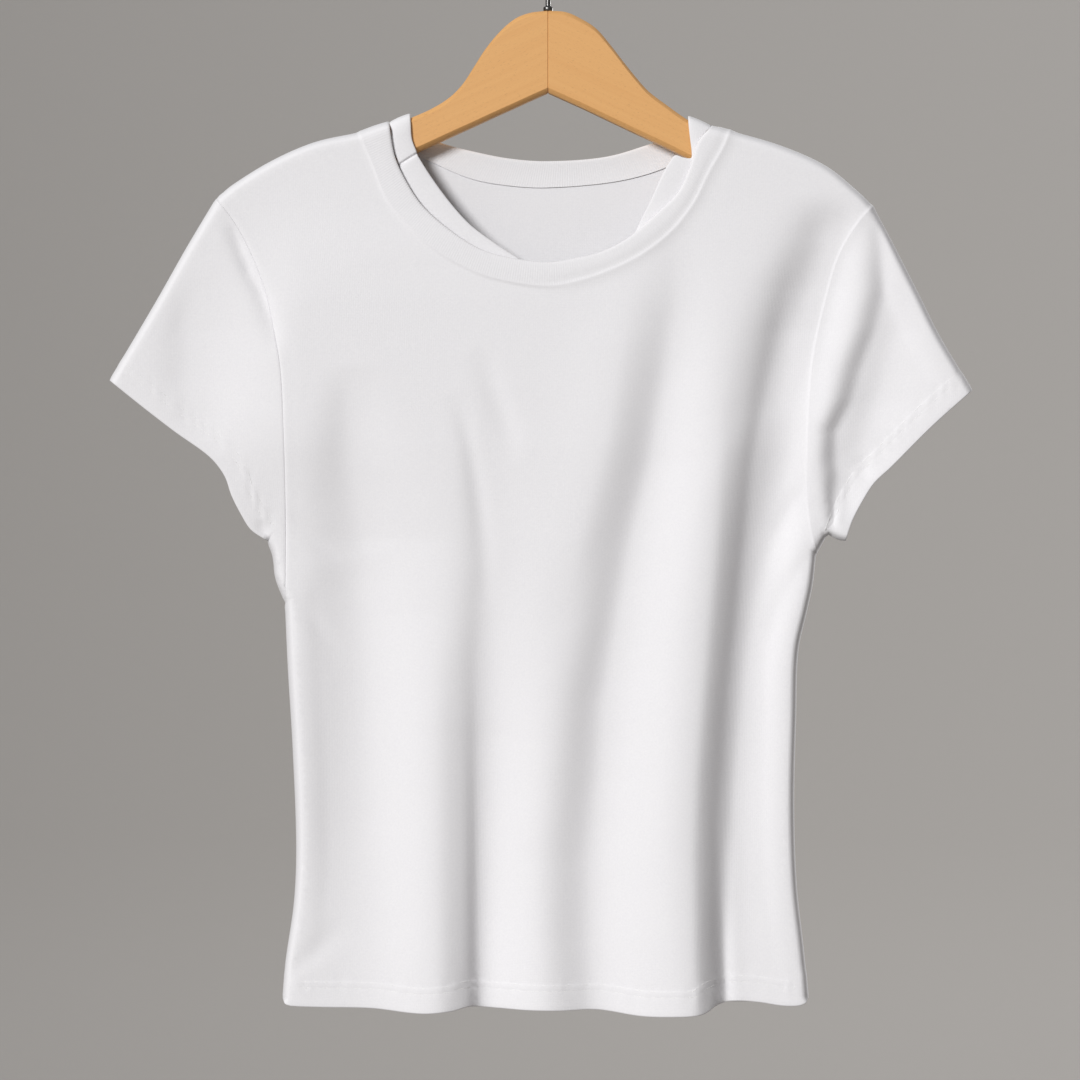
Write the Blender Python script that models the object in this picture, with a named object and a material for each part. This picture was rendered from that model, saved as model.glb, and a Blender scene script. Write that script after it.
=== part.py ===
"""Crew neck T-shirt, hung flat on a two-piece wooden hanger with a wire hook.

Frame: +Z up, the front of the shirt faces -Y, the wearer's right side is at -X.
The origin is the inner crown of the hook, the point that rests on a rail.
Tables are in millimetres. A "drop" is the distance below the neck-point level.

The shirt is laid out as patches in the front view, and one depth field gives every
point its distance from the middle plane. The field is zero along the folded edges
(shoulders, sleeve folds, side seams), so the pieces meet there, and it grows inside
them, so front and back enclose a shallow hollow.
"""

import math

import bpy
import numpy as np
from mathutils import Vector
from mathutils.geometry import delaunay_2d_cdt

MM = 0.001

# --- driving dimensions (mm) -------------------------------------------------------
NECK_POINT_Z = -133.6       # height of the neck-point level, below the hook's inner crown
CLOTH = 1.2                 # wall of the single jersey
RIB = 2.4                   # wall of the neck band, two layers of rib
FACING = 1.2                # wall of the inner neck facing
HEM_EXTRA = 0.8             # the turned-up allowance, added at the hem and the cuffs
HEM_WIDTH = 17.5
CUFF_HEM_WIDTH = 16.0
HEM_STEP = 6.0              # distance over which the wall thickens at a hem
SEAM_GAP = 0.3              # clearance between two pieces at a seam
EDGE_DEPTH = 10.5           # half depth of the shirt just inside a folded edge
EDGE_ROLL = 10.0            # distance over which a folded edge rounds away
BELLY_RUN = 90.0            # distance from an edge at which the full depth is reached
FOLD_FADE = 22.0            # distance over which the folds fade towards a folded edge
SLEEVE_FLATNESS = 0.8       # share of the extra depth that the sleeves lose
SLEEVE_START = 165.0        # distance from the middle at which they begin to lie flatter
SLEEVE_RUN = 65.0           # distance over which they do
BAND_CROWN = 0.4            # how far the neck band bulges between its edges
WOOD_HALF = 6.0             # half thickness of the hanger
WOOD_ROUND = 3.6            # rounding of its long edges
ROUND_LIMIT = 0.95          # the rounding's largest share of an arm's half height
JOINT_X = 1.0               # the joint between the two arms, and the hook's stem
JOINT_REACH = 90.0          # the arms are set off with the joint up to this distance from it
HOOK_WIRE = 1.7             # radius of the hook's wire
HOOK_CROWN = 18.0           # inner radius of the crook
HOOK_FILLET = 12.0          # radius of the bend from the stem into the crook
HOOK_TIP_ANGLE = 205.0      # the crook runs from the fillet round to this angle (degrees)
COLLAR_RADIUS = 3.2
COLLAR_HEIGHT = 3.5
COLLAR_TAPER = 0.8          # height over which the collar closes on the wire

# --- outlines in the front view: x, drop (mm) --------------------------------------
# They are drawn as seen from in front of the middle of the shirt, so cloth that is nearer
# the viewer lies a little closer to the axis of the view.
VIEW_DISTANCE = 2211.0
VIEW_AXIS = np.array((-4.4, 281.4))
# Where the neck band folds over the hanger, from its inside out to its seam.
CROSSING_RIGHT = ((-90, -3.4), (-105.5, 1.9), (-125, 8.6))
CROSSING_LEFT = ((93.5, -2.5), (110, 4.6), (123.1, 7.6))
# Shoulder folds, from the neck band's seam out to the sleeve.
SHOULDER_RIGHT = ((-125, 8.6), (-155, 15.1), (-183, 27.1), (-210, 43.6), (-221.2, 53))
SHOULDER_LEFT = ((123.1, 7.6), (157, 17.6), (187, 31.1), (210, 49.6), (218.2, 58.1))
# Armhole seams, from the shoulder down to the underarm.
ARMHOLE_RIGHT = ((-221.2, 53), (-209.7, 67.7), (-198.2, 88.9), (-187.9, 116), (-182.8, 140),
                 (-178.2, 168), (-176, 215), (-174.7, 270), (-175, 323))
ARMHOLE_LEFT = ((218.2, 58.1), (208.9, 69), (196.6, 90), (189, 114), (180.2, 152),
                (177.1, 178), (175.2, 225), (175.5, 258), (180.2, 290))
# Side seams, from the underarm to the hem.
SIDE_RIGHT = ((-175, 323), (-173, 367), (-169.8, 420), (-167.4, 484), (-168.8, 523),
              (-174.7, 565), (-176.6, 592))
SIDE_LEFT = ((180.2, 290), (178, 311), (174.4, 328), (168.3, 356), (166.8, 400),
             (165.5, 459), (167.2, 512), (171.9, 555), (175.4, 591))
# Upper folds of the sleeves, from the shoulder to the cuff.
SLEEVE_TOP_RIGHT = ((-221.2, 53), (-240.9, 86), (-261.3, 122), (-292.5, 174.8))
SLEEVE_TOP_LEFT = ((218.2, 58.1), (229.4, 78.7), (248.8, 116.8), (263.2, 145.4), (285, 181.4))
# Cuffs, from the upper fold down to the sleeve seam.
CUFF_RIGHT = ((-292.5, 174.8), (-271.6, 191.6), (-249, 209), (-225.8, 225.8), (-215.8, 238.5),
              (-211.2, 251.5), (-205, 263.8), (-198.1, 274.6), (-186.6, 282.3))
CUFF_LEFT = ((285, 181.4), (258.3, 205.4), (231, 232.7), (219.4, 243.7), (210.4, 258),
             (204.6, 269.6), (200.5, 281.9))
# Sleeve seams, from the underarm out to the cuff.
SLEEVE_SEAM_RIGHT = ((-175, 323), (-181.2, 307), (-183.1, 292), (-186.6, 282.3))
SLEEVE_SEAM_LEFT = ((180.2, 290), (183.8, 284.1), (188.2, 277.5), (195.1, 280.4), (200.5, 281.9))
# Hems, from the right side seam to the left one.
HEM_FRONT = ((-176.6, 592), (-150, 594.5), (-117, 595.2), (-84, 599), (-64, 597.4),
             (-51.3, 594), (-34, 594.8), (-13, 596.6), (9, 597), (34, 596), (64, 600.6),
             (89, 601.2), (102, 600.2), (108, 597.8), (112, 594.4), (119, 591), (129, 590.2),
             (143, 591.2), (157, 593.4), (169, 593.8), (175.4, 591))
HEM_BACK = ((-176.6, 592), (-120, 590.5), (-60, 592), (0, 590), (60, 592), (120, 590.5),
            (175.4, 591))
# Neck band: where its seam and its free edge lie on each section.
# seam x, seam drop, edge x, edge drop
NECK_FRONT = (
    (-125, 8.6, -105.5, 1.9),
    (-115.7, 30.6, -101.6, 24.3),
    (-107.5, 51, -93.1, 42.7),
    (-95.1, 67.5, -83, 57.5),
    (-76.7, 85, -67.5, 71.5),
    (-56.2, 97.3, -48, 84.5),
    (-35.7, 105.5, -31, 90.8),
    (0, 111.2, 0, 95.2),
    (23.2, 107.5, 19, 92.6),
    (43.8, 100.4, 36.5, 88.2),
    (64.3, 90, 54.5, 79),
    (84.8, 73.7, 74, 62.5),
    (99.2, 55.2, 88, 48.5),
    (109.4, 34.7, 95.8, 32),
    (118.6, 18.3, 101.6, 14.7),
    (123.1, 7.6, 110, 4.6),
)
NECK_BACK = (
    (-125, 8.6, -105.5, 1.9),
    (-103, 16.5, -88, 8.5),
    (-81, 26.5, -68, 16.2),
    (-52, 39, -50, 20.9),
    (-27.5, 43.8, -25, 25.8),
    (0, 45.4, 1, 27.6),
    (45.6, 41.4, 40, 24.6),
    (76.4, 33.3, 71.6, 15.4),
    (101, 20.5, 91, 8.8),
    (123.1, 7.6, 110, 4.6),
)

# --- depth of the shirt: drop, half depth in the middle of the body (mm) -----------
BELLY_FRONT = ((0, 11), (60, 13), (120, 17), (220, 21), (400, 23), (600, 23))
BELLY_BACK = ((0, 11), (60, 12), (150, 14), (300, 16), (600, 17))

# --- folds: drop, x, depth, width towards -X, width towards +X (mm); a ridge has a negative depth ---
FRONT_FOLDS = {
    "right side hollow": ((165, -132, 0, 12, 20), (194, -133, 3, 14, 24), (232, -132, 5, 18, 30),
                          (281, -127, 9, 24, 36), (400, -124, 9, 26, 38), (470, -120, 8, 28, 38),
                          (530, -114, 7, 34, 42), (615, -112, 7, 34, 44)),
    "low right trough": ((180, -36, 0, 14, 26), (228, -38, 1.5, 14, 24), (281, -36, 3, 15, 26),
                         (335, -38, 5.5, 16, 27), (375, -39, 7.5, 17, 28), (415, -38, 9.5, 18, 28),
                         (495, -38, 10.5, 18, 27), (560, -40, 11.5, 16, 25), (615, -40, 12, 15, 24)),
    "right ridge": ((330, -66, 0, 26, 9), (400, -64, -2.5, 26, 9), (500, -62, -3.5, 26, 8),
                    (560, -61, -4.5, 26, 8), (615, -61, -5, 26, 7)),
    "upper middle ridge": ((90, 60, 0, 26, 12), (150, 50, -2, 30, 14), (214, 40, -2.5, 30, 14),
                           (281, 22, -2, 26, 14), (335, 10, 0, 24, 14)),
    "long middle trough": ((70, 90, 0, 12, 16), (114, 88, 2, 13, 20), (174, 80, 6, 16, 24),
                           (228, 71, 8, 17, 28), (281, 58, 8.5, 18, 32), (335, 48, 9, 18, 34),
                           (388, 41, 9, 17, 34), (442, 38, 9, 17, 32), (495, 32, 8.5, 17, 32),
                           (549, 33, 8.5, 17, 30), (615, 38, 8, 16, 28)),
    "left ridge": ((87, 145, 0, 24, 16), (141, 125, -1.5, 28, 18), (194, 115, -2.5, 30, 16),
                   (228, 115, -3.5, 30, 13), (281, 113, -6, 32, 12), (335, 108, -6.5, 34, 12),
                   (388, 103, -7, 34, 12), (442, 99, -7, 34, 11), (495, 97, -6.5, 34, 11),
                   (549, 98, -7, 34, 10), (615, 99, -7, 34, 9)),
    "deep left trough": ((50, 198, 0, 24, 10), (87, 195, 6, 36, 12), (114, 187, 10, 37, 11),
                         (141, 179, 12, 36, 11), (167, 172, 12.5, 34, 11), (194, 166, 12.5, 31, 12),
                         (228, 159, 12, 26, 12), (281, 147, 10.5, 21, 16), (335, 139, 9.5, 17, 20),
                         (388, 132, 9.5, 14, 22), (442, 127, 10, 12.5, 24), (495, 124, 9.5, 12, 26),
                         (549, 123, 9.5, 11.5, 28), (615, 124, 9.5, 10, 28)),
    "right armhole crease": ((60, -217, 0, 5, 4), (81, -207, 2, 6, 5), (100, -199, 3, 6, 5),
                             (117, -190, 3, 7, 5), (138, -184, 2, 7, 5), (158, -180, 0, 6, 5)),
    "right sleeve hollow": ((100, -246, 0, 12, 20), (141, -240, 2.5, 14, 26), (174, -240, 3, 16, 28),
                            (200, -236, 2, 16, 26), (225, -230, 0, 16, 24)),
    "left sleeve ridge": ((80, 208, 0, 12, 8), (141, 203, -2, 14, 8), (167, 193, -2.5, 14, 8),
                          (188, 187, -2.5, 14, 8), (228, 180, -2.5, 12, 7), (262, 183, 0, 10, 7)),
    "left sleeve trough": ((66, 224, 0, 7, 20), (94, 227, 5, 9, 28), (114, 227, 6, 9, 34),
                           (141, 221, 7, 9, 38), (167, 211, 7.5, 9, 40), (188, 205, 7.5, 9, 40),
                           (208, 195, 7, 8, 36), (228, 195, 7, 8, 30), (248, 200, 6, 8, 24),
                           (275, 201, 3, 8, 16), (290, 201, 0, 8, 12)),
}
BACK_FOLDS = {
    "right back trough": ((170, -110, 0, 14, 18), (300, -100, 4, 16, 24), (450, -92, 5, 16, 24),
                          (615, -88, 4, 14, 20)),
    "middle back trough": ((120, -20, 0, 16, 20), (260, -14, 3, 20, 26), (430, 0, 5, 22, 18),
                           (615, 6, 5, 20, 15)),
    "left back trough": ((140, 125, 0, 12, 10), (280, 104, 4, 22, 14), (440, 96, 5, 24, 14),
                         (615, 90, 6, 22, 13)),
    "back ridge": ((260, 45, 0, 18, 14), (420, 50, -3, 18, 14), (615, 46, -4, 16, 14)),
}

# --- inner neck facing: outer x, outer drop, inner x, inner drop, y ------------------
# Sections from the top of the arm, over its front and down behind the neck band.
FACING_RIGHT = (
    (-103.0, 2.0, -91.4, -3.8, 2.4),
    (-104.0, 2.4, -91.4, -3.8, -2.4),
    (-103.8, 4.0, -91.3, -2.2, -5.9),
    (-103.2, 8.0, -91.0, 2.0, -7.5),
    (-103.6, 17, -90.2, 12.5, -7.8),
    (-102.0, 31, -86.5, 24.5, -8.0),
    (-94, 49, -77.7, 37.5, -8.4),
    (-79.5, 67, -65.4, 54.3, -9.2),
    (-62.5, 80, -51.6, 69.7, -10.0),
    (-42, 91, -34.6, 82.5, -10.8),
    (-21, 97.5, -19.1, 92.5, -11.4),
)
FACING_LEFT = (
    (108.6, 4.9, 94.8, -2.2, 2.4),
    (109.0, 5.0, 94.8, -2.2, -2.4),
    (107.6, 6.3, 94.9, -0.6, -5.9),
    (104.6, 9.6, 95.2, 4.0, -7.5),
    (103.6, 16, 96.2, 13, -7.8),
    (103.2, 23, 97.2, 21.5, -7.9),
    (102.8, 26, 96.8, 25.4, -8.0),
    (102.0, 29, 92.0, 25.2, -8.0),
    (100.8, 32, 86.4, 23.6, -8.0),
    (99.4, 35, 83.4, 26.6, -8.1),
    (97, 40, 77.6, 36.4, -8.2),
    (91.5, 50, 70.6, 52, -8.6),
    (82.5, 61, 64.0, 65.5, -9.2),
    (71, 71, 59.2, 75.5, -9.8),
    (60, 78.6, 56.5, 79.8, -10.2),
)

# --- hanger arms: distance from the joint, then top and bottom drops of each arm -----
ARM_SECTIONS = (
    (0, -73.7, -18.8, -73.7, -18.8),
    (12, -72.3, -13.5, -72.8, -13.4),
    (22, -68.4, -8.9, -68.4, -8.9),
    (32, -60, -4.4, -62, -4.2),
    (42, -48, 0.2, -50.6, 0.6),
    (50, -35.5, 3.9, -40.2, 4.4),
    (58, -23.5, 7.5, -30.2, 8.2),
    (67, -14.8, 11.6, -20, 12.4),
    (78, -8, 16.7, -11.5, 17.6),
    (90, -2.4, 22.2, -3.2, 23.3),
    (106, 5.2, 29.2, 5.6, 30.4),
    (126, 12, 36, 11.2, 37),
    (156, 18.3, 42, 20, 44),
    (184, 30.6, 50.5, 32.2, 52),
    (203, 42.4, 58, 46.4, 61),
    (208, 47, 58.6, 52, 62),
    (210.5, 51.5, 56.5, 56.5, 60),
)

# --- mesh density ---------------------------------------------------------------------
ROLL_STEPS = (0.1, 0.42, 1.0)       # shares of EDGE_ROLL where a rounded edge is sampled
EDGE_CELL = 14.0                    # spacing of the points along the seams
FRONT_CELL = 15.0                   # spacing of the points inside the front panel
BACK_CELL = 18.0
SLEEVE_CELL = 13.0
NECK_COLUMN = 12.0                  # length of the neck band between two sections
GRID_CLEARANCE = 0.5                # least distance from a grid point to the outline, in cells
ROW_CLEARANCE = 0.45                # the same from the rows along a folded edge
CORNER_CLEARANCE = 0.6              # share of a row's own distance that it keeps from other edges
CORNER_STEPS = 2                    # facets round each long edge of the wood
FILLET_STEPS = 5
CROOK_STEPS = 30
WIRE_SIDES = 8
TIP_ROWS = (0.5, 0.85)              # shares of the wire's radius where its rounded tip is sampled
MITRE_LIMIT = 2.0                   # longest push at a corner of a seam, in half gaps
SAME_POINT = 1e-7                   # points closer than this are one, for the triangulation
WELD = 0.05                         # points of two pieces closer than this (mm) share a normal
SHARP_ANGLE = 40.0                  # edges bent by more than this (degrees) are shaded sharp


# --- small tools ------------------------------------------------------------------------
def smooth_step(value):
    """0 below 0, 1 above 1, and an even S between."""
    value = np.clip(value, 0, 1)
    return value * value * (3 - 2 * value)


def fine_curve(points, per_span=16):
    """A dense Catmull-Rom line through the points."""
    points = np.array(points, float)
    before = 2 * points[0] - points[1]
    after = 2 * points[-1] - points[-2]
    padded = np.vstack([before, points, after])
    share = np.linspace(0, 1, per_span, endpoint=False)[:, None]
    spans = []
    for a, b, c, d in zip(padded, padded[1:], padded[2:], padded[3:]):
        chord = np.linalg.norm(c - b)
        leave = (c - a) / (np.linalg.norm(b - a) + chord) * chord
        arrive = (d - b) / (chord + np.linalg.norm(d - c)) * chord
        spans.append((2 * share**3 - 3 * share**2 + 1) * b + (share**3 - 2 * share**2 + share) * leave
                     + (3 * share**2 - 2 * share**3) * c + (share**3 - share**2) * arrive)
    return np.vstack(spans + [points[-1:]])


def sample(points, step, rolled_start=False, rolled_end=False):
    """Points of the smooth curve about a step apart, closer at an end that rounds away."""
    line = fine_curve(points)
    along = np.concatenate([[0], np.cumsum(np.linalg.norm(np.diff(line, axis=0), axis=1))])
    length = along[-1]
    head = [share * EDGE_ROLL for share in ROLL_STEPS] if rolled_start else [0.0]
    tail = [length - share * EDGE_ROLL for share in reversed(ROLL_STEPS)] if rolled_end else [length]
    count = max(1, round((tail[0] - head[-1]) / step))
    distances = head[:-1] + list(np.linspace(head[-1], tail[0], count + 1)) + tail[1:]
    if rolled_start:
        distances.insert(0, 0.0)
    if rolled_end:
        distances.append(length)
    return np.stack([np.interp(distances, along, column) for column in line.T], axis=1)


def distance_to(points, line):
    """Distance in the front view from each point to a polyline."""
    best = np.full(points.shape[:-1], np.inf)
    for a, b in zip(line, line[1:]):
        run = b - a
        share = np.clip(((points - a) @ run) / (run @ run), 0, 1)
        nearest = a + share[..., None] * run
        best = np.minimum(best, np.linalg.norm(points - nearest, axis=-1))
    return best


FOLDED_EDGES = [fine_curve(edge) for edge in (
    CROSSING_RIGHT, SHOULDER_RIGHT, SLEEVE_TOP_RIGHT, SLEEVE_SEAM_RIGHT, SIDE_RIGHT,
    CROSSING_LEFT, SHOULDER_LEFT, SLEEVE_TOP_LEFT, SLEEVE_SEAM_LEFT, SIDE_LEFT,
)]


def fold_offset(points, folds):
    """How far the folds push the cloth towards the middle plane."""
    total = np.zeros(points.shape[:-1])
    x, drop = points[..., 0], points[..., 1]
    for rows in folds.values():
        drops, centres, depths, lower, upper = np.array(rows, float).T
        depth = np.interp(drop, drops, depths, left=0, right=0)
        centre = np.interp(drop, drops, centres)
        width = np.where(x < centre, np.interp(drop, drops, lower), np.interp(drop, drops, upper))
        total += depth * np.exp(-((x - centre) / width) ** 2)
    return total


def half_depth(points, belly, folds):
    """Distance of the cloth from the middle plane at each point of the front view."""
    gap = np.minimum.reduce([distance_to(points, line) for line in FOLDED_EDGES])
    roll = np.sqrt(1 - (1 - np.clip(gap / EDGE_ROLL, 0, 1)) ** 2)
    drops, depths = np.array(belly, float).T
    full = np.interp(points[..., 1], drops, depths)
    flatten = 1 - SLEEVE_FLATNESS * smooth_step((np.abs(points[..., 0]) - SLEEVE_START) / SLEEVE_RUN)
    extra = (full - EDGE_DEPTH) * smooth_step(gap / BELLY_RUN) * flatten
    return EDGE_DEPTH * roll + extra - fold_offset(points, folds) * smooth_step(gap / FOLD_FADE)


def in_space(points, y):
    """The place in space of points in the front view, at their depths y."""
    near = VIEW_AXIS + (points - VIEW_AXIS) * (1 + y / VIEW_DISTANCE)[..., None]
    return np.stack([near[..., 0], y, NECK_POINT_Z - near[..., 1]], axis=-1)


def as_seen(points):
    """Where points in space lie in the front view."""
    near = np.stack([points[:, 0], NECK_POINT_Z - points[:, 2]], axis=-1)
    return VIEW_AXIS + (near - VIEW_AXIS) / (1 + points[:, 1:2] / VIEW_DISTANCE)


def lay(points, side):
    """Give front-view points their place in space; side is -1 in front, 1 behind."""
    belly, folds = (BELLY_FRONT, FRONT_FOLDS) if side < 0 else (BELLY_BACK, BACK_FOLDS)
    return in_space(points, side * half_depth(points, belly, folds))


# --- flat fillings of an outline ---------------------------------------------------------
def inside(points, outline):
    """Whether each point lies inside a closed outline."""
    x, y = points[:, 0], points[:, 1]
    hits = np.zeros(len(points), bool)
    for (ax, ay), (bx, by) in zip(outline, np.roll(outline, -1, axis=0)):
        crosses = (ay > y) != (by > y)
        rise = by - ay if by != ay else 1.0
        hits ^= crosses & (x < (bx - ax) * (y - ay) / rise + ax)
    return hits


def beside(edge, outline):
    """Rows of points inside the outline along a folded edge, where the cloth rounds away."""
    normals = np.gradient(edge, axis=0)[:, ::-1] * (1, -1)
    normals /= np.linalg.norm(normals, axis=1)[:, None]
    if inside(edge[1:-1] + normals[1:-1], outline).mean() < 0.5:
        normals = -normals
    rows = []
    for share in ROLL_STEPS:
        row = edge + normals * share * EDGE_ROLL
        gap = distance_to(row, np.vstack([outline, outline[:1]]))
        clear = gap > CORNER_CLEARANCE * share * EDGE_ROLL
        rows.append(row[inside(row, outline) & clear])
    return np.vstack(rows)


def fill(outline, folded, cell):
    """Triangles over an outline: an even grid inside, and closer rows along folded edges."""
    closed = np.vstack([outline, outline[:1]])
    low, high = outline.min(axis=0), outline.max(axis=0)
    columns = np.arange(low[0], high[0], cell)
    rows = np.arange(low[1], high[1], cell * math.sqrt(3) / 2)
    grid = np.array([(x + cell / 2 * (row % 2), y) for row, y in enumerate(rows) for x in columns])
    grid = grid[inside(grid, outline)]
    keep = distance_to(grid, closed) > GRID_CLEARANCE * cell
    for edge in folded:
        keep &= distance_to(grid, edge) > EDGE_ROLL + ROW_CLEARANCE * cell
    beside_edges = [beside(edge, outline) for edge in folded]
    points = np.vstack([outline] + beside_edges + [grid[keep]])
    ring = list(range(len(outline)))
    upright = [Vector((x, -y)) for x, y in points]
    if np.sum(closed[:-1, 0] * closed[1:, 1] - closed[1:, 0] * closed[:-1, 1]) > 0:
        ring.reverse()
    found = delaunay_2d_cdt(upright, [], [ring], 1, SAME_POINT)
    origin = [group[0] for group in found[3]]
    triangles = np.array([[origin[i] for i in face] for face in found[2]])
    return points, triangles


# --- sheets of cloth: points, triangles facing out, and the edges that lie at a seam ------
def join_outline(parts):
    """One closed outline from its sides, and for each side its run of point numbers."""
    points, runs = [], []
    for part in parts:
        start = len(points)
        points.extend(part[:-1])
        runs.append(list(range(start, start + len(part))))
    runs[-1][-1] = 0
    return np.array(points), runs


def edges_of(run):
    return {frozenset(pair) for pair in zip(run, run[1:])}


def body_panel(neck_sections, hem, side, cell):
    """Front or back panel, from its shoulders and neck seam down to the hem."""
    parts = []
    for armhole, side_seam, shoulder in ((ARMHOLE_RIGHT, SIDE_RIGHT, SHOULDER_RIGHT),
                                         (ARMHOLE_LEFT, SIDE_LEFT, SHOULDER_LEFT)):
        parts.append((sample(shoulder, EDGE_CELL), sample(armhole, EDGE_CELL, True, True),
                      sample(side_seam, EDGE_CELL)))
    right, left = parts
    neck = neck_seam(neck_sections)
    hem_line = sample(hem, cell, True, True)
    sides = (right[0], right[1], right[2], hem_line, left[2][::-1], left[1][::-1], left[0][::-1],
             neck[::-1])
    outline, runs = join_outline(sides)
    points, triangles = fill(outline, (right[0], right[2], left[0], left[2]), cell)
    seams = set().union(*(edges_of(run) for run, line in zip(runs, sides) if line is not hem_line))
    return lay(points, side), triangles[:, ::-side], seams


def neck_seam(sections):
    return sample([row[:2] for row in sections], NECK_COLUMN, True, True)


def sleeve(armhole, top_fold, cuff, seam):
    """A sleeve: its front and back halves share the upper fold and the sleeve seam."""
    sides = (sample(armhole, EDGE_CELL, True, True), sample(seam, SLEEVE_CELL),
             sample(cuff, SLEEVE_CELL, True, True)[::-1], sample(top_fold, SLEEVE_CELL)[::-1])
    outline, runs = join_outline(sides)
    points, triangles = fill(outline, (sides[3], sides[1]), SLEEVE_CELL)
    shared = sorted(set(runs[1]) | set(runs[3]))
    renumber = np.arange(len(points)) + len(points)
    renumber[shared] = shared
    both = np.vstack([lay(points, -1), lay(points, 1)])
    both_triangles = np.vstack([triangles, renumber[triangles][:, ::-1]])
    used, compact = np.unique(both_triangles, return_inverse=True)
    number_of = {old: new for new, old in enumerate(used)}
    seams = set()
    for pair in edges_of(runs[0]):
        seams.add(frozenset(number_of[i] for i in pair))
        seams.add(frozenset(number_of[renumber[i]] for i in pair))
    return both[used], compact.reshape(-1, 3), seams


def grid_sheet(grid, closed, seam_row=False):
    """A sheet from a grid of points; the first row may lie at a seam."""
    rows, columns = grid.shape[:2]
    last = columns if closed else columns - 1
    triangles = []
    for row in range(rows - 1):
        for column in range(last):
            a, b = row * columns + column, row * columns + (column + 1) % columns
            triangles += [(a, b, b + columns), (a, b + columns, a + columns)]
    seams = {frozenset((c, (c + 1) % columns)) for c in range(last)} if seam_row else set()
    return grid.reshape(-1, 3), np.array(triangles), seams


def neck_ring():
    """The neck band: its seam follows both panels, its free edge follows the sections."""
    strips = []
    for sections, side in ((NECK_FRONT, -1), (NECK_BACK, 1)):
        seam = neck_seam(sections)
        along = np.concatenate([[0], np.cumsum(np.linalg.norm(np.diff(seam, axis=0), axis=1))])
        edge = fine_curve([row[2:] for row in sections])
        edge_along = np.concatenate([[0], np.cumsum(np.linalg.norm(np.diff(edge, axis=0), axis=1))])
        share = along / along[-1] * edge_along[-1]
        free = np.stack([np.interp(share, edge_along, column) for column in edge.T], axis=1)
        rows = [lay(seam, side), lay((seam + free) / 2, side), lay(free, side)]
        rows[1][1:-1, 1] += side * BAND_CROWN
        rows[1][[0, -1], 1] = 0
        strip = np.stack(rows)
        strips.append(strip if side < 0 else strip[:, ::-1][:, 1:-1])
    return grid_sheet(np.concatenate(strips, axis=1), True, True)


def facing_strip(sections, outwards):
    """The inner neck facing: a narrow strip over the arm and down behind the front band."""
    table = np.array(sections, float)
    outer = in_space(table[:, 0:2], table[:, 4])
    inner = in_space(table[:, 2:4], table[:, 4])
    grid = np.stack([outer, (outer + inner) / 2, inner])
    return grid_sheet(grid[:, ::outwards], False)


# --- walls -----------------------------------------------------------------------------------
def unit(vectors):
    return vectors / np.linalg.norm(vectors, axis=1)[:, None]


def shared_normals(sheets):
    """Unit normals of all sheets, the same for two sheets wherever they meet at a seam.

    On a folded edge, in the middle plane, the normal lies in that plane.
    """
    totals, keys = {}, []
    for points, triangles, _ in sheets:
        corners = points[triangles]
        cells = unit(np.cross(corners[:, 1] - corners[:, 0], corners[:, 2] - corners[:, 0]))
        sums = np.zeros_like(points)
        for corner in range(3):
            ahead = unit(corners[:, (corner + 1) % 3] - corners[:, corner])
            behind = unit(corners[:, (corner + 2) % 3] - corners[:, corner])
            angle = np.arccos(np.clip(np.sum(ahead * behind, axis=1), -1, 1))
            np.add.at(sums, triangles[:, corner], cells * angle[:, None])
        keys.append([tuple(key) for key in np.round(points / WELD).astype(int)])
        for key, value in zip(keys[-1], sums):
            totals[key] = totals.get(key, 0) + value
    result = []
    for sheet_keys in keys:
        normals = np.array([totals[key] for key in sheet_keys])
        on_fold = np.array([key[1] == 0 for key in sheet_keys])
        normals[on_fold, 1] = 0
        result.append(unit(normals))
    return result


def border(triangles):
    """The directed edges along a sheet's border."""
    directed = {(t[i], t[(i + 1) % 3]) for t in triangles.tolist() for i in range(3)}
    return [(a, b) for a, b in directed if (b, a) not in directed]


def clear_of_seams(points, normals, edges, seams):
    """Move seam points into their own sheet by half the gap, square to each seam edge."""
    pushes = {}
    for a, b in edges:
        if frozenset((a, b)) in seams:
            for point in (a, b):
                inward = np.cross(normals[point], points[b] - points[a])
                pushes.setdefault(point, []).append(inward / np.linalg.norm(inward))
    moved = points.copy()
    for point, ways in pushes.items():
        total = np.sum(ways, axis=0)
        reach = 1 / max(1 / MITRE_LIMIT, total @ ways[0])
        moved[point] += total * reach * SEAM_GAP / 2
    return moved


def wall(name, sheet, normals, thickness, material):
    """Turn a sheet into a closed wall of the given thickness, clear of its seams."""
    points, triangles, seams = sheet
    edges = sorted(border(triangles))
    points = clear_of_seams(points, normals, edges, seams)
    half = np.broadcast_to(thickness, len(points))[:, None] / 2
    verts = np.concatenate([points + normals * half, points - normals * half]) * MM
    count = len(points)
    faces = [tuple(t) for t in triangles.tolist()]
    faces += [(a + count, c + count, b + count) for a, b, c in triangles.tolist()]
    for a, b in edges:
        if points[a][0] > points[b][0]:
            faces += [(b, a, a + count), (b, a + count, b + count)]
        else:
            faces += [(b, a, b + count), (a, a + count, b + count)]
    return add_object(name, verts, faces, material)


def wall_thickness(sheet, free_edge, hem_width):
    """Cloth wall, thicker over the turned-up allowance along a free edge."""
    from_edge = distance_to(as_seen(sheet[0]), fine_curve(free_edge))
    return CLOTH + HEM_EXTRA * smooth_step((hem_width - from_edge) / HEM_STEP + 0.5)


# --- objects ------------------------------------------------------------------------------------
def principled(name, colour, roughness, metallic=0.0):
    material = bpy.data.materials.new(name)
    material.use_nodes = True
    shader = material.node_tree.nodes["Principled BSDF"]
    shader.inputs["Base Color"].default_value = (*colour, 1.0)
    shader.inputs["Roughness"].default_value = roughness
    shader.inputs["Metallic"].default_value = metallic
    return material


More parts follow.
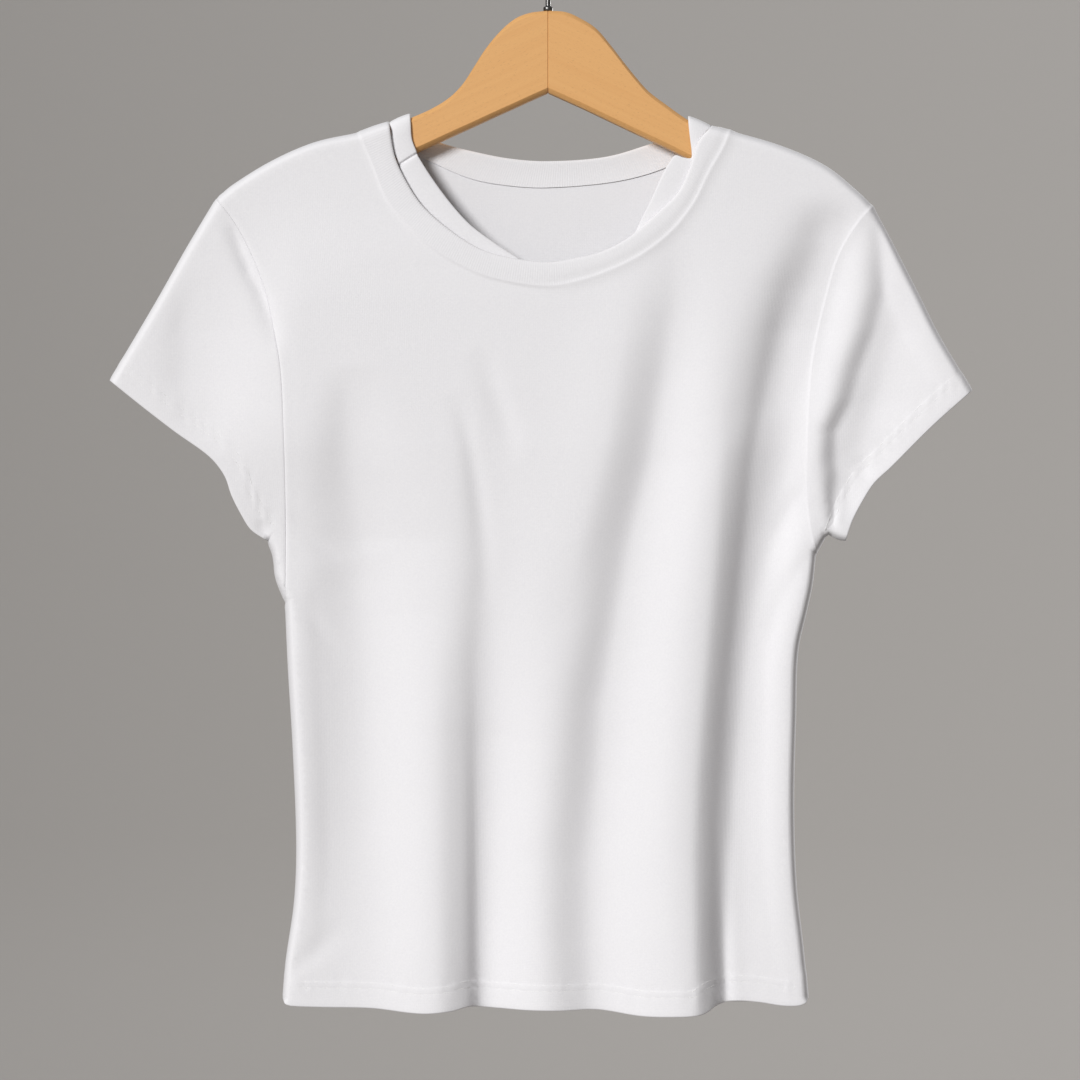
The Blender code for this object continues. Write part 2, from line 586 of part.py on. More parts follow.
def add_object(name, verts, faces, material):
    """A mesh object with smooth shading."""
    mesh = bpy.data.meshes.new(name)
    mesh.from_pydata([tuple(v) for v in verts], [], faces)
    mesh.shade_smooth()
    mesh.set_sharp_from_angle(angle=math.radians(SHARP_ANGLE))
    mesh.materials.append(material)
    obj = bpy.data.objects.new(name, mesh)
    bpy.context.scene.collection.objects.link(obj)
    return obj


def loft(name, rings, material):
    """A closed solid through a row of rings, with both ends capped."""
    size = len(rings[0])
    verts = [point for ring in rings for point in ring]
    faces = [tuple(reversed(range(size)))]
    for row in range(len(rings) - 1):
        for column in range(size):
            following = (column + 1) % size
            faces.append((row * size + column, row * size + following,
                          (row + 1) * size + following, (row + 1) * size + column))
    start = (len(rings) - 1) * size
    faces.append(tuple(range(start, start + size)))
    return add_object(name, verts, faces, material)


def arm_ring(x, top, bottom):
    """A rounded rectangle across an arm, from its front's place in the front view."""
    (x, _, high), (_, _, low) = in_space(np.array([(x, top), (x, bottom)]), np.full(2, -WOOD_HALF))
    middle, half_height = (high + low) / 2, (high - low) / 2
    rounding = min(WOOD_ROUND, half_height * ROUND_LIMIT)
    ring = []
    for corner, (side, rise) in enumerate(((1, 1), (-1, 1), (-1, -1), (1, -1))):
        for step in range(CORNER_STEPS + 1):
            angle = math.radians(90 * (corner + step / CORNER_STEPS))
            y = side * (WOOD_HALF - rounding) + rounding * math.cos(angle)
            z = middle + rise * (half_height - rounding) + rounding * math.sin(angle)
            ring.append((x * MM, y * MM, z * MM))
    return ring


def hanger_arm(name, direction, material):
    """One arm, from the joint in the middle out to its rounded end."""
    rings = []
    for distance, top_right, bottom_right, top_left, bottom_left in ARM_SECTIONS:
        top, bottom = (top_right, bottom_right) if direction < 0 else (top_left, bottom_left)
        x = direction * max(distance, SEAM_GAP / 2)
        if distance < JOINT_REACH:
            x += JOINT_X
        rings.append(arm_ring(x, top, bottom))
    return loft(name, rings[::direction], material)


def hook_route():
    """Centre points and radii of the hook: collar, stem, fillet and crook."""
    radius = HOOK_CROWN + HOOK_WIRE
    wood_top = in_space(np.array((JOINT_X, ARM_SECTIONS[0][1])), np.array(-WOOD_HALF))[2]
    base = wood_top + SEAM_GAP
    reach = radius + HOOK_FILLET
    fillet_x = JOINT_X + HOOK_FILLET
    fillet_z = -HOOK_CROWN - math.sqrt(reach**2 - fillet_x**2)
    meet = math.atan2(fillet_z + HOOK_CROWN, fillet_x)
    route = [(JOINT_X, base, COLLAR_RADIUS),
             (JOINT_X, base + COLLAR_HEIGHT - COLLAR_TAPER, COLLAR_RADIUS),
             (JOINT_X, base + COLLAR_HEIGHT, HOOK_WIRE)]
    turn = meet + math.pi
    for step in range(FILLET_STEPS + 1):
        angle = math.pi + (turn - math.pi) * step / FILLET_STEPS
        route.append((fillet_x + HOOK_FILLET * math.cos(angle),
                      fillet_z + HOOK_FILLET * math.sin(angle), HOOK_WIRE))
    for step in range(1, CROOK_STEPS + 1):
        angle = meet + (math.radians(HOOK_TIP_ANGLE) - meet) * step / CROOK_STEPS
        route.append((radius * math.cos(angle), -HOOK_CROWN + radius * math.sin(angle), HOOK_WIRE))
    return route


def hook(material):
    """The wire hook, swept along its route in the middle plane, with a rounded tip."""
    route = hook_route()
    centres = np.array([(x, z) for x, z, _ in route])
    ahead = np.gradient(centres, axis=0)
    ahead /= np.linalg.norm(ahead, axis=1)[:, None]
    ahead[:3] = (0, 1)      # the collar and the foot of the stem stand upright
    stations = [(centre, forward, row[2]) for centre, forward, row in zip(centres, ahead, route)]
    tip, forward, _ = stations[-1]
    for step in TIP_ROWS:
        stations.append((tip + forward * HOOK_WIRE * step, forward,
                         HOOK_WIRE * math.sqrt(1 - step**2)))
    rings = []
    for centre, forward, radius in stations:
        ring = []
        for side in range(WIRE_SIDES):
            angle = math.tau * (side + 0.5) / WIRE_SIDES
            out = radius * math.cos(angle)
            ring.append(((centre[0] + forward[1] * out) * MM, radius * math.sin(angle) * MM,
                         (centre[1] - forward[0] * out) * MM))
        rings.append(ring)
    return loft("hook", rings, material)


def build():
    for old in list(bpy.data.objects):
        bpy.data.objects.remove(old)
    jersey = principled("white cotton jersey", (0.82, 0.82, 0.83), 0.85)
    rib = principled("white cotton rib", (0.82, 0.82, 0.83), 0.85)
    beech = principled("lacquered beech", (0.73, 0.40, 0.15), 0.4)
    steel = principled("dark steel wire", (0.2, 0.2, 0.21), 0.35, 1.0)

    sheets = {
        "front_panel": body_panel(NECK_FRONT, HEM_FRONT, -1, FRONT_CELL),
        "back_panel": body_panel(NECK_BACK, HEM_BACK, 1, BACK_CELL),
        "sleeve_right": sleeve(ARMHOLE_RIGHT, SLEEVE_TOP_RIGHT, CUFF_RIGHT, SLEEVE_SEAM_RIGHT),
        "sleeve_left": sleeve(ARMHOLE_LEFT, SLEEVE_TOP_LEFT, CUFF_LEFT, SLEEVE_SEAM_LEFT),
        "neck_band": neck_ring(),
    }
    walls = {
        "front_panel": wall_thickness(sheets["front_panel"], HEM_FRONT, HEM_WIDTH),
        "back_panel": wall_thickness(sheets["back_panel"], HEM_BACK, HEM_WIDTH),
        "sleeve_right": wall_thickness(sheets["sleeve_right"], CUFF_RIGHT, CUFF_HEM_WIDTH),
        "sleeve_left": wall_thickness(sheets["sleeve_left"], CUFF_LEFT, CUFF_HEM_WIDTH),
        "neck_band": RIB,
    }
    for (name, sheet), normals in zip(sheets.items(), shared_normals(sheets.values())):
        wall(name, sheet, normals, walls[name], rib if name == "neck_band" else jersey)
    for name, sections, outwards in (("neck_facing_right", FACING_RIGHT, 1),
                                     ("neck_facing_left", FACING_LEFT, -1)):
        strip = facing_strip(sections, outwards)
        wall(name, strip, shared_normals([strip])[0], FACING, jersey)
    hanger_arm("hanger_right", -1, beech)
    hanger_arm("hanger_left", 1, beech)
    hook(steel)


if __name__ == "__main__":
    build()
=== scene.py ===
"""A plain white crew neck T-shirt on a wooden hanger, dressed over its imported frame.

Frame: +Z up, the front of the shirt faces -Y, the wearer's right side is at -X.
Tables are in millimetres. A "drop" is the distance below the neck-point level.
"""

import math

import bpy
import numpy as np
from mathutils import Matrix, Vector
from mathutils.geometry import delaunay_2d_cdt
from mathutils.kdtree import KDTree


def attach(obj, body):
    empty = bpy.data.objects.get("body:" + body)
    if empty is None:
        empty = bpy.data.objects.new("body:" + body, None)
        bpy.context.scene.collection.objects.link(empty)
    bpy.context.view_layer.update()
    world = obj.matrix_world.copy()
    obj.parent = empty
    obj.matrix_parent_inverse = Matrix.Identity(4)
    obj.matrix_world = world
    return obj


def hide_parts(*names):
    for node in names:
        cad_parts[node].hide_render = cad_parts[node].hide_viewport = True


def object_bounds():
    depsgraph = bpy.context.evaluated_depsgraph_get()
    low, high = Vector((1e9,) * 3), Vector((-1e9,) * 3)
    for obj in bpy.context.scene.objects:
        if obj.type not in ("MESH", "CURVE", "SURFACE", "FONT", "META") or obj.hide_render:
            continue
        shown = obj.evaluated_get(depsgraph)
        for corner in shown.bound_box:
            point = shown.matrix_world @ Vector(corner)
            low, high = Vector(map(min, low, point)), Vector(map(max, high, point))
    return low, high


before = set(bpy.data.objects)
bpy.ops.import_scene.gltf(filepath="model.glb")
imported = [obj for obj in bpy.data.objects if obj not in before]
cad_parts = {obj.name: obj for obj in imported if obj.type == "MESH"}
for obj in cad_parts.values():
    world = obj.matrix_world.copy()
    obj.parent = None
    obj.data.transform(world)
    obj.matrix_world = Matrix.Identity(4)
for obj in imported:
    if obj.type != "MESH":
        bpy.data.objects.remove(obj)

bl_info = {
    "name": "Crew neck T-shirt on a hanger",
    "version": (1, 0, 0),
    "blender": (4, 5, 0),
    "location": "3D View > Sidebar > T-shirt",
    "description": "Builds a hung jersey T-shirt, its wooden hanger and a studio",
    "category": "Object",
}

MM = 0.001
CAD_LOW, CAD_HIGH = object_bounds()
SHIRT_CENTRE = (CAD_LOW + CAD_HIGH) / 2

# --- driving dimensions (mm) ------------------------------------------------------------
NECK_POINT_Z = -133.6       # height of the neck-point level, below the hook's inner crown
WALL_FACE = 0.6             # outer face of a cloth wall, from the wall's middle
BAND_FACE = 1.2             # the same for the neck band
EDGE_DEPTH = 10.5           # half depth of the shirt just inside a folded edge
EDGE_ROLL = 4.5             # distance over which a folded edge rounds away
BELLY_RUN = 90.0            # distance from an edge at which the full depth is reached
FOLD_FADE = 22.0            # distance over which the folds fade towards a folded edge
CREASE_FADE = 5.0           # the same for the small creases
SLEEVE_FLATNESS = 0.8       # share of the extra depth that the sleeves lose
SLEEVE_START = 165.0        # distance from the middle at which they begin to lie flatter
SLEEVE_RUN = 65.0           # distance over which they do
BAND_CROWN = 0.4            # how far the neck band bulges between its edges
FACING_CROWN = 0.5          # the same for a facing
FACING_FACE = 0.6           # outer face of a facing, from its middle
PANEL_ROUND = 0.9           # distance over which the folded edge of a hem or cuff is round
BAND_ROUND = 1.6            # the same for the free edge of the neck band
FACING_ROUND = 0.8          # the same for both edges of a facing
LEAST_ROUND = 0.01          # share of that distance at which the rounding starts
BAND_BLEND = 6.0            # depth over which the band's front relief turns into the back one
PUCKER_REACH = 3.0          # how far the puckers reach beside a stitch row
PUCKER_WANDER = 1.7         # how unevenly they follow each other (radians)
PUCKER_WANDER_RUN = 4.3     # puckers to one turn of that unevenness
ALLOWANCE_FADE = 3.0        # distance over which the turned-up layer ends
WOOD_HALF = 6.0             # half thickness of the hanger
WOOD_BEVEL = 3.0            # bevel along its long edges
BEVEL_POWER = 1.15          # 2 is a full round, 1 a flat chamfer
BEVEL_LIMIT = 0.95          # largest share of an arm's half height that a bevel takes
JOINT_GAP = 0.06            # hairline between the two arms, and below the collar
JOINT_CHAMFER = 0.45        # small chamfer at the joint
JOINT_X = 1.0               # the joint between the two arms, and the hook's stem
JOINT_REACH = 90.0          # the arms are set off with the joint up to about this distance
JOINT_BLEND = 20.0          # run over which that offset ends
HOOK_CROWN = 18.0           # inner radius of the crook
HOOK_FILLET = 12.0          # radius of the bend from the stem into the crook
HOOK_TIP_ANGLE = 205.0      # the crook runs from the fillet round to this angle (degrees)
# Round end of the wire: distance beyond its last full section, as a share of its radius.
HOOK_TIP_SHARES = (0.3, 0.6, 0.85, 0.97)
# Collar: height above the wood (mm), radius as a share of the collar's.
COLLAR_PROFILE = ((0, 0.75), (0.15, 0.93), (0.5, 1), (2.3, 1), (2.8, 0.92), (3.1, 0.7))
# The collar's run into the wire: height above the wood (mm), radius as a share of the wire's.
COLLAR_TOP = ((3.3, 1.15), (3.6, 1))

# --- outlines in the front view: x, drop (mm) -------------------------------------------
# They are drawn as seen from in front of the middle of the shirt, so cloth that is nearer
# the viewer lies a little closer to the axis of the view.
VIEW_DISTANCE = 2211.0
VIEW_AXIS = np.array((-4.4, 281.4))
# Where the neck band folds over the hanger, from its inside out to its seam.
CROSSING_RIGHT = ((-90, -3.4), (-105.5, 1.9), (-125, 8.6))
CROSSING_LEFT = ((93.5, -2.5), (110, 4.6), (123.1, 7.6))
# Shoulder folds, from the neck band's seam out to the sleeve.
SHOULDER_RIGHT = ((-125, 8.6), (-155, 15.1), (-183, 27.1), (-210, 43.6), (-221.2, 53))
SHOULDER_LEFT = ((123.1, 7.6), (157, 17.6), (187, 31.1), (210, 49.6), (218.2, 58.1))
# Armhole seams, from the shoulder down to the underarm.
ARMHOLE_RIGHT = ((-221.2, 53), (-209.7, 67.7), (-198.2, 88.9), (-187.9, 116), (-182.8, 140),
                 (-178.2, 168), (-176, 215), (-174.7, 270), (-175, 323))
ARMHOLE_LEFT = ((218.2, 58.1), (208.9, 69), (196.6, 90), (189, 114), (180.2, 152),
                (177.1, 178), (175.2, 225), (175.5, 258), (180.2, 290))
# Side seams, from the underarm to the hem.
SIDE_RIGHT = ((-175, 323), (-173, 367), (-169.8, 420), (-167.4, 484), (-168.8, 523),
              (-174.7, 565), (-176.5, 589))
SIDE_LEFT = ((180.2, 290), (178, 311), (174.4, 328), (168.3, 356), (166.8, 400),
             (165.5, 459), (167.2, 512), (171.9, 555), (175.2, 588.4))
# Upper folds of the sleeves, from the shoulder to the cuff.
SLEEVE_TOP_RIGHT = ((-221.2, 53), (-240.9, 86), (-261.3, 122), (-292.5, 174.8))
SLEEVE_TOP_LEFT = ((218.2, 58.1), (229.4, 78.7), (248.8, 116.8), (263.2, 145.4), (285, 181.4))
# Cuffs, from the upper fold down to the sleeve seam.
CUFF_RIGHT = ((-292.5, 174.8), (-271.6, 191.6), (-249, 209), (-225.8, 225.8), (-215.8, 238.5),
              (-211.2, 251.5), (-205, 263.8), (-198.1, 274.6), (-186.6, 282.3))
CUFF_LEFT = ((285, 181.4), (258.3, 205.4), (231, 232.7), (219.4, 243.7), (210.4, 258),
             (204.6, 269.6), (200.5, 281.9))
# Sleeve seams, from the underarm out to the cuff.
SLEEVE_SEAM_RIGHT = ((-175, 323), (-181.2, 307), (-183.1, 292), (-186.6, 282.3))
SLEEVE_SEAM_LEFT = ((180.2, 290), (183.8, 284.1), (188.2, 277.5), (195.1, 280.4), (200.5, 281.9))
# Hems, from the right side seam to the left one.
HEM_FRONT = ((-176.5, 589), (-175.4, 592), (-172, 593.6), (-150, 594.5), (-117, 595.2),
             (-84, 599), (-64, 597.4), (-51.3, 594), (-34, 594.8), (-13, 596.6), (9, 597),
             (34, 596), (64, 600.6), (89, 601.2), (102, 600.2), (108, 597.8), (112, 594.4),
             (119, 591), (129, 590.2), (143, 591.2), (157, 593.4), (168.5, 593.6),
             (173.6, 591.8), (175.2, 588.4))
HEM_BACK = ((-176.5, 589), (-172, 591.2), (-120, 590.5), (-60, 592), (0, 590), (60, 592),
            (120, 590.5), (171, 590.4), (175.2, 588.4))
# Neck band: where its seam and its free edge lie on each section.
# seam x, seam drop, edge x, edge drop
NECK_FRONT = (
    (-125, 8.6, -105.5, 1.9),
    (-115.7, 30.6, -101.6, 24.3),
    (-107.5, 51, -93.1, 42.7),
    (-95.1, 67.5, -83, 57.5),
    (-76.7, 85, -67.5, 71.5),
    (-56.2, 97.3, -48, 84.5),
    (-35.7, 105.5, -31, 90.8),
    (0, 111.2, 0, 95.2),
    (23.2, 107.5, 19, 92.6),
    (43.8, 100.4, 36.5, 88.2),
    (64.3, 90, 54.5, 79),
    (84.8, 73.7, 74, 62.5),
    (99.2, 55.2, 88, 48.5),
    (109.4, 34.7, 95.8, 32),
    (118.6, 18.3, 101.6, 14.7),
    (123.1, 7.6, 110, 4.6),
)
NECK_BACK = (
    (-125, 8.6, -105.5, 1.9),
    (-103, 16.5, -88, 8.5),
    (-81, 26.5, -68, 16.2),
    (-52, 39, -50, 20.9),
    (-27.5, 43.8, -25, 25.8),
    (0, 45.4, 1, 27.6),
    (45.6, 41.4, 40, 24.6),
    (76.4, 33.3, 71.6, 15.4),
    (101, 20.5, 91, 8.8),
    (123.1, 7.6, 110, 4.6),
)

# --- cloth as cut -----------------------------------------------------------------------
# Without seam and hem allowances; a sleeve and the neck band are measured all round.
# width (mm), length (mm), area of the cut (cm2)
CUTS = {
    "front_panel": (440, 592, 2030),
    "back_panel": (440, 592, 2090),
    "sleeve_right": (376, 141, 320),
    "sleeve_left": (345, 140, 300),
    "neck_band": (635, 17.5, 106),
    "neck_facing_right": (139, 20.5, 21.5),
    "neck_facing_left": (102, 21, 14),
}

# --- depth of the shirt (mm) ------------------------------------------------------------
# drop, half depth in the middle of the body
BELLY_FRONT = ((0, 11), (60, 13), (120, 17), (220, 21), (400, 23), (600, 23))
BELLY_BACK = ((0, 11), (60, 12), (150, 14), (300, 16), (600, 17))

# --- large folds (mm) -------------------------------------------------------------------
# drop, x, depth, width towards -X, width towards +X; a ridge has a negative depth
FRONT_FOLDS = {
    "right side hollow": ((165, -132, 0, 12, 20), (194, -132, 3, 15, 24), (232, -130, 6, 20, 32),
                          (281, -121, 11, 29, 40), (335, -117, 12, 32, 42), (400, -114, 12, 34, 42),
                          (470, -112, 11, 36, 42), (530, -108, 9.5, 40, 42), (615, -108, 8, 38, 42)),
    "low right trough": ((180, -36, 0, 14, 26), (228, -38, 1.5, 14, 24), (281, -36, 3.2, 17, 26),
                         (335, -36, 6.4, 21, 27), (375, -35, 9.4, 25, 27), (415, -34, 12, 26, 27),
                         (495, -34, 13, 25, 26), (560, -35, 14, 24, 25), (615, -35, 15, 24, 24)),
    "low right line": ((300, -44, 0, 10, 16), (335, -44, 1.2, 9, 16), (366, -46, 1.5, 8, 16),
                       (400, -46.5, 1.9, 6.5, 16), (442, -46.8, 2.6, 5.5, 16),
                       (496, -46.5, 3.8, 5.2, 16), (549, -46.2, 5, 5.2, 16),
                       (600, -45.2, 6.4, 5.2, 16)),
    "right ridge": ((330, -77, 0, 28, 17), (400, -76, -2.8, 28, 17), (500, -75, -4, 28, 17),
                    (560, -74, -4.8, 28, 17), (615, -74, -5.2, 28, 16)),
    "upper middle ridge": ((90, 60, 0, 26, 12), (150, 50, -2, 30, 14), (214, 40, -2.5, 30, 14),
                           (281, 22, -2, 26, 14), (335, 10, 0, 24, 14)),
    "long middle trough": ((70, 90, 0, 12, 16), (114, 88, 2, 13, 20), (174, 80, 6, 16, 24),
                           (228, 71, 8, 17, 28), (281, 58, 8.5, 18, 32), (335, 48, 9, 18, 34),
                           (388, 39, 10.6, 20, 34), (442, 35.5, 11.8, 22, 32), (495, 30.5, 12, 24, 31),
                           (549, 30.5, 11.8, 24, 29), (615, 35, 11, 23, 27)),
    "left ridge": ((87, 145, 0, 24, 16), (141, 125, -1.5, 28, 18), (194, 115, -2.5, 30, 16),
                   (228, 115, -3.5, 30, 13), (281, 113, -6, 32, 12), (335, 108, -6.5, 34, 12),
                   (388, 103, -7, 34, 12), (442, 99, -7, 34, 11), (495, 97, -6.5, 34, 11),
                   (549, 98, -7, 34, 10), (615, 99, -7, 34, 9)),
    "deep left trough": ((50, 198, 0, 24, 12), (87, 195, 6, 33, 15), (114, 187, 10, 34, 19),
                         (141, 179, 12, 33, 22), (167, 172, 12.5, 32, 24), (194, 166, 12.5, 30, 24),
                         (228, 159, 12, 26, 22), (281, 147, 10.5, 21, 20), (335, 139, 9.5, 17, 20),
                         (388, 132, 9.5, 14, 22), (442, 127, 10, 12.5, 24), (495, 124, 9.5, 12, 26),
                         (549, 123, 9.5, 11.5, 28), (615, 124, 9.5, 10, 28)),
    "right armhole crease": ((60, -217, 0, 5, 4), (81, -207, 2, 6, 5), (100, -199, 3, 6, 5),
                             (117, -190, 3, 7, 5), (138, -184, 2, 7, 5), (158, -180, 0, 6, 5)),
    "right sleeve hollow": ((100, -246, 0, 12, 20), (141, -240, 2.5, 14, 26), (174, -240, 3, 16, 28),
                            (200, -236, 2, 16, 26), (225, -230, 0, 16, 24)),
    "left sleeve ridge": ((80, 208, 0, 12, 8), (141, 203, -0.8, 14, 8), (167, 193, -0.8, 14, 8),
                          (188, 187, -0.8, 14, 8), (228, 180, -1.2, 12, 7), (262, 183, 0, 10, 7)),
    "left sleeve trough": ((66, 224, 0, 7, 20), (94, 227, 5, 9, 28), (114, 227, 6, 9, 34),
                           (141, 221, 7, 9, 38), (167, 211, 7.5, 9, 40), (188, 205, 8, 8.5, 40),
                           (208, 194.5, 8.8, 7.8, 36), (228, 194, 9, 7.2, 30), (248, 196.5, 8, 7, 24),
                           (275, 200, 4, 7, 16), (290, 201, 0, 8, 12)),
    "left sleeve tail": ((90, 230, 0, 10, 40), (120, 236, 2, 14, 40), (141, 236, 3, 16, 40),
                         (167, 230, 3.5, 18, 40), (190, 222, 3.8, 18, 40), (222, 213, 3.8, 17, 40),
                         (250, 206, 2, 12, 30), (268, 204, 0, 8, 20)),
    "deep left line": ((84, 170, 0, 12, 20), (110, 164, 2, 12, 22), (141, 157, 3.8, 11, 22),
                       (174, 149, 3.8, 9, 22), (228, 138.5, 3.4, 7, 20), (281, 133, 2.8, 5.5, 16),
                       (335, 127, 2.2, 5, 12), (389, 121, 1.4, 5, 8), (469, 115, 1.5, 5, 7),
                       (523, 116, 3, 5.5, 6), (560, 117, 4.6, 5.2, 5.5), (615, 119.2, 6.2, 5, 5.5)),
}
BACK_FOLDS = {
    "right back trough": ((170, -110, 0, 14, 18), (300, -100, 4, 16, 24), (450, -92, 5, 16, 24),
                          (615, -88, 4, 14, 20)),
    "middle back trough": ((120, -20, 0, 16, 20), (260, -14, 3, 20, 26), (430, 0, 5, 22, 18),
                           (615, 6, 5, 20, 15)),
    "left back trough": ((140, 125, 0, 12, 10), (280, 104, 4, 22, 14), (440, 96, 5, 24, 14),
                         (615, 90, 6, 22, 13)),
    "back ridge": ((260, 45, 0, 18, 14), (420, 50, -3, 18, 14), (615, 46, -4, 16, 14)),
}

# --- small creases along a line (mm) ----------------------------------------------------
# x, drop, depth, width
FRONT_CREASES = {
    "right underarm fan, upper": ((-176, 262, 0, 4), (-160, 276, 1.1, 6), (-136, 300, 0.5, 8),
                                  (-118, 322, 0, 9)),
    "right underarm fan, lower": ((-173, 318, 0, 4), (-160, 330, 1.0, 6), (-146, 352, 0.4, 7),
                                  (-138, 372, 0, 8)),
    "left underarm fan, upper": ((176, 240, 0, 4), (163, 262, 1.2, 6), (150, 292, 0.7, 7),
                                 (143, 325, 0, 8)),
    "left underarm fan, lower": ((178, 288, 0, 4), (166, 306, 1.0, 5), (155, 338, 0.5, 6),
                                 (151, 366, 0, 7)),
    "right cuff dimple": ((-194, 268, 0, 3), (-190, 274, 1.6, 3.4), (-186, 278, 0.4, 3)),
    "left cuff recess": ((190, 238, 0, 3), (191, 250, 2.4, 3), (192, 262, 3.6, 2.8),
                         (191.5, 271, 2.4, 2.6), (190, 277, 0.8, 2.5)),
    "left cuff dimple": ((207, 225, 0, 5), (213, 233, 1.5, 4.5), (219, 240, 0, 5)),
    "left sleeve line, upper": ((219, 66, 0, 4), (223, 80, 1.6, 4.5), (226.5, 100, 1.4, 5),
                                (227, 120, 0.6, 5), (224, 140, 0, 5)),
    "right corner pull": ((-172, 574, 0, 4), (-163, 564, 0.9, 6), (-148, 550, 0.8, 8),
                          (-134, 534, 0, 9)),
    "chest line, upper": ((-46, 152, 0, 8), (-37, 178, 1.3, 8), (-27, 204, 1.2, 8), (-22, 230, 0, 8)),
    "chest line, lower": ((-62, 182, 0, 6), (-55, 204, 1.0, 6), (-50, 228, 1.5, 6),
                          (-46, 255, 1.6, 6.5), (-43, 284, 1.2, 7), (-42, 312, 0.6, 7),
                          (-42, 330, 0, 7)),
    "right ridge beside the side seam": ((-160, 190, 0, 12), (-163, 280, -1.0, 16),
                                         (-164, 340, -2.2, 17), (-162, 440, -2.4, 17),
                                         (-158, 520, -1.4, 16), (-158, 590, -0.6, 14)),
    "left shoulder hollow": ((191, 58, 0, 13), (184, 76, 3.0, 14), (177, 96, 3.2, 14),
                             (169, 118, 2.6, 13), (160, 145, 1.7, 12), (152, 178, 0.8, 11),
                             (147, 205, 0, 10)),
    "right armhole line": ((-212, 70, 0, 3), (-206.5, 82, 0.8, 3), (-198.5, 101, 0.9, 3),
                           (-190.5, 117, 0.9, 3), (-184, 137, 0.6, 3), (-180.5, 152, 0, 3)),
}
BACK_CREASES = {
    "right blade pull": ((-190, 96, 0, 6), (-168, 122, 0.9, 8), (-140, 156, 0.5, 9),
                         (-120, 186, 0, 9)),
    "left blade pull": ((188, 100, 0, 6), (170, 128, 1.0, 8), (148, 162, 0.5, 9), (132, 196, 0, 9)),
    "right underarm fan": ((-173, 300, 0, 4), (-156, 320, 1.1, 6), (-134, 352, 0.5, 8),
                           (-120, 384, 0, 9)),
    "left underarm fan": ((177, 280, 0, 4), (160, 304, 1.0, 6), (140, 340, 0.6, 8),
                          (128, 380, 0, 9)),
    "right sleeve drape": ((-236, 104, 0, 6), (-236, 150, 1.0, 8), (-222, 196, 1.3, 9),
                           (-208, 236, 0.5, 8)),
    "left sleeve drape": ((232, 104, 0, 6), (234, 150, 0.9, 8), (220, 196, 1.2, 9),
                          (206, 240, 0.5, 8)),
    "small of the back, right": ((-52, 300, 0, 9), (-46, 380, 0.8, 10), (-40, 460, 0.7, 10),
                                 (-42, 550, 0, 10)),
    "small of the back, left": ((58, 330, 0, 9), (66, 400, 0.7, 9), (70, 480, 0.9, 10),
                                (66, 560, 0, 10)),
    "hem wave": ((20, 500, 0, 8), (24, 550, 0.7, 8), (26, 592, 1.1, 8)),
}

# --- relief beside an edge (mm) ---------------------------------------------------------
# distance from the edge, height over the cloth
SIDE_BLEND = 40.0           # run across the middle over which a right relief turns into a left one
SEAM_GROOVE = ((0, -0.2), (0.5, -0.05), (1.3, 0))
RIGHT_ARMHOLE_BODY = ((0, -0.35), (0.5, 0.05), (1.4, 0.2), (3.2, 0.18), (6, 0))
RIGHT_ARMHOLE_SLEEVE = ((0, -0.35), (0.5, -0.1), (1.4, 0), (3, 0))
LEFT_ARMHOLE_BODY = ((0, 0.5), (0.4, 0.47), (1.3, 0.1), (2.2, 0))
LEFT_ARMHOLE_SLEEVE = ((0, 0.5), (0.5, 0.46), (3, 0.2), (6, 0))
NECK_SEAM_RIGHT = ((0, 0.8), (0.4, 0.78), (1.0, 0.45), (2.0, 0.05), (2.8, 0))
NECK_SEAM_LEFT = ((0, 0.8), (0.4, 0.78), (1.0, 0.66), (3.0, 0.3), (6.0, 0))
NECK_SEAM_BACK = ((0, -0.3), (0.5, -0.1), (1.5, 0.08), (4.2, 0.1), (7, 0))
BAND_SEAM_RIGHT = ((0, 0.2), (0.4, 0.2), (2.0, 0.06), (4.0, 0), (7.0, 0))
BAND_SEAM_LEFT = ((0, 0.2), (0.4, 0.2), (1.8, -0.45), (4.0, -0.3), (7.0, 0))
BAND_SEAM_BACK = ((0, -0.35), (0.5, -0.1), (1.3, 0))
HEM_RELIEF = ((0, 0.2), (0.15, 0.22), (0.45, 0.24), (1, 0.24), (4, 0.16), (8, 0.14), (11.6, 0.15),
              (12.6, 0.11), (13, 0.06), (13.4, 0.11), (14.6, 0.17), (16, 0.18), (17.1, 0.1),
              (17.5, 0), (18.1, -0.04), (20.5, 0))
HEM_STITCH_ROWS = (13.0, 17.0)
CUFF_RELIEF = ((0, 0.16), (0.15, 0.18), (0.45, 0.2), (1, 0.2), (4, 0.13), (8, 0.12), (10.6, 0.12),
               (11.1, 0.09), (11.5, 0.05), (11.9, 0.09), (13.2, 0.14), (14.6, 0.14), (15.6, 0.08),
               (16, 0), (16.6, -0.03), (19, 0))
CUFF_STITCH_ROWS = (11.5, 15.5)
# One stitch: place along it as a share of its length, and thickness as a share of the thread's.
STITCH_PROFILE = ((-0.5, 0.35), (-0.42, 0.85), (-0.2, 1.0), (0.2, 1.0), (0.42, 0.85), (0.5, 0.35))
STITCH_RINGS = len(STITCH_PROFILE)
STITCH_SIDES = 6
STITCH_PITCH = 1.12         # spacing of the stitches in stitch lengths
STITCH_LIFT = 0.56          # height of the thread's middle over the middle of the cloth
STITCH_AHEAD = 0.5          # step along a row over which its direction is taken
STITCH_ASIDE = 0.3          # step beside it over which the slope of the cloth is taken

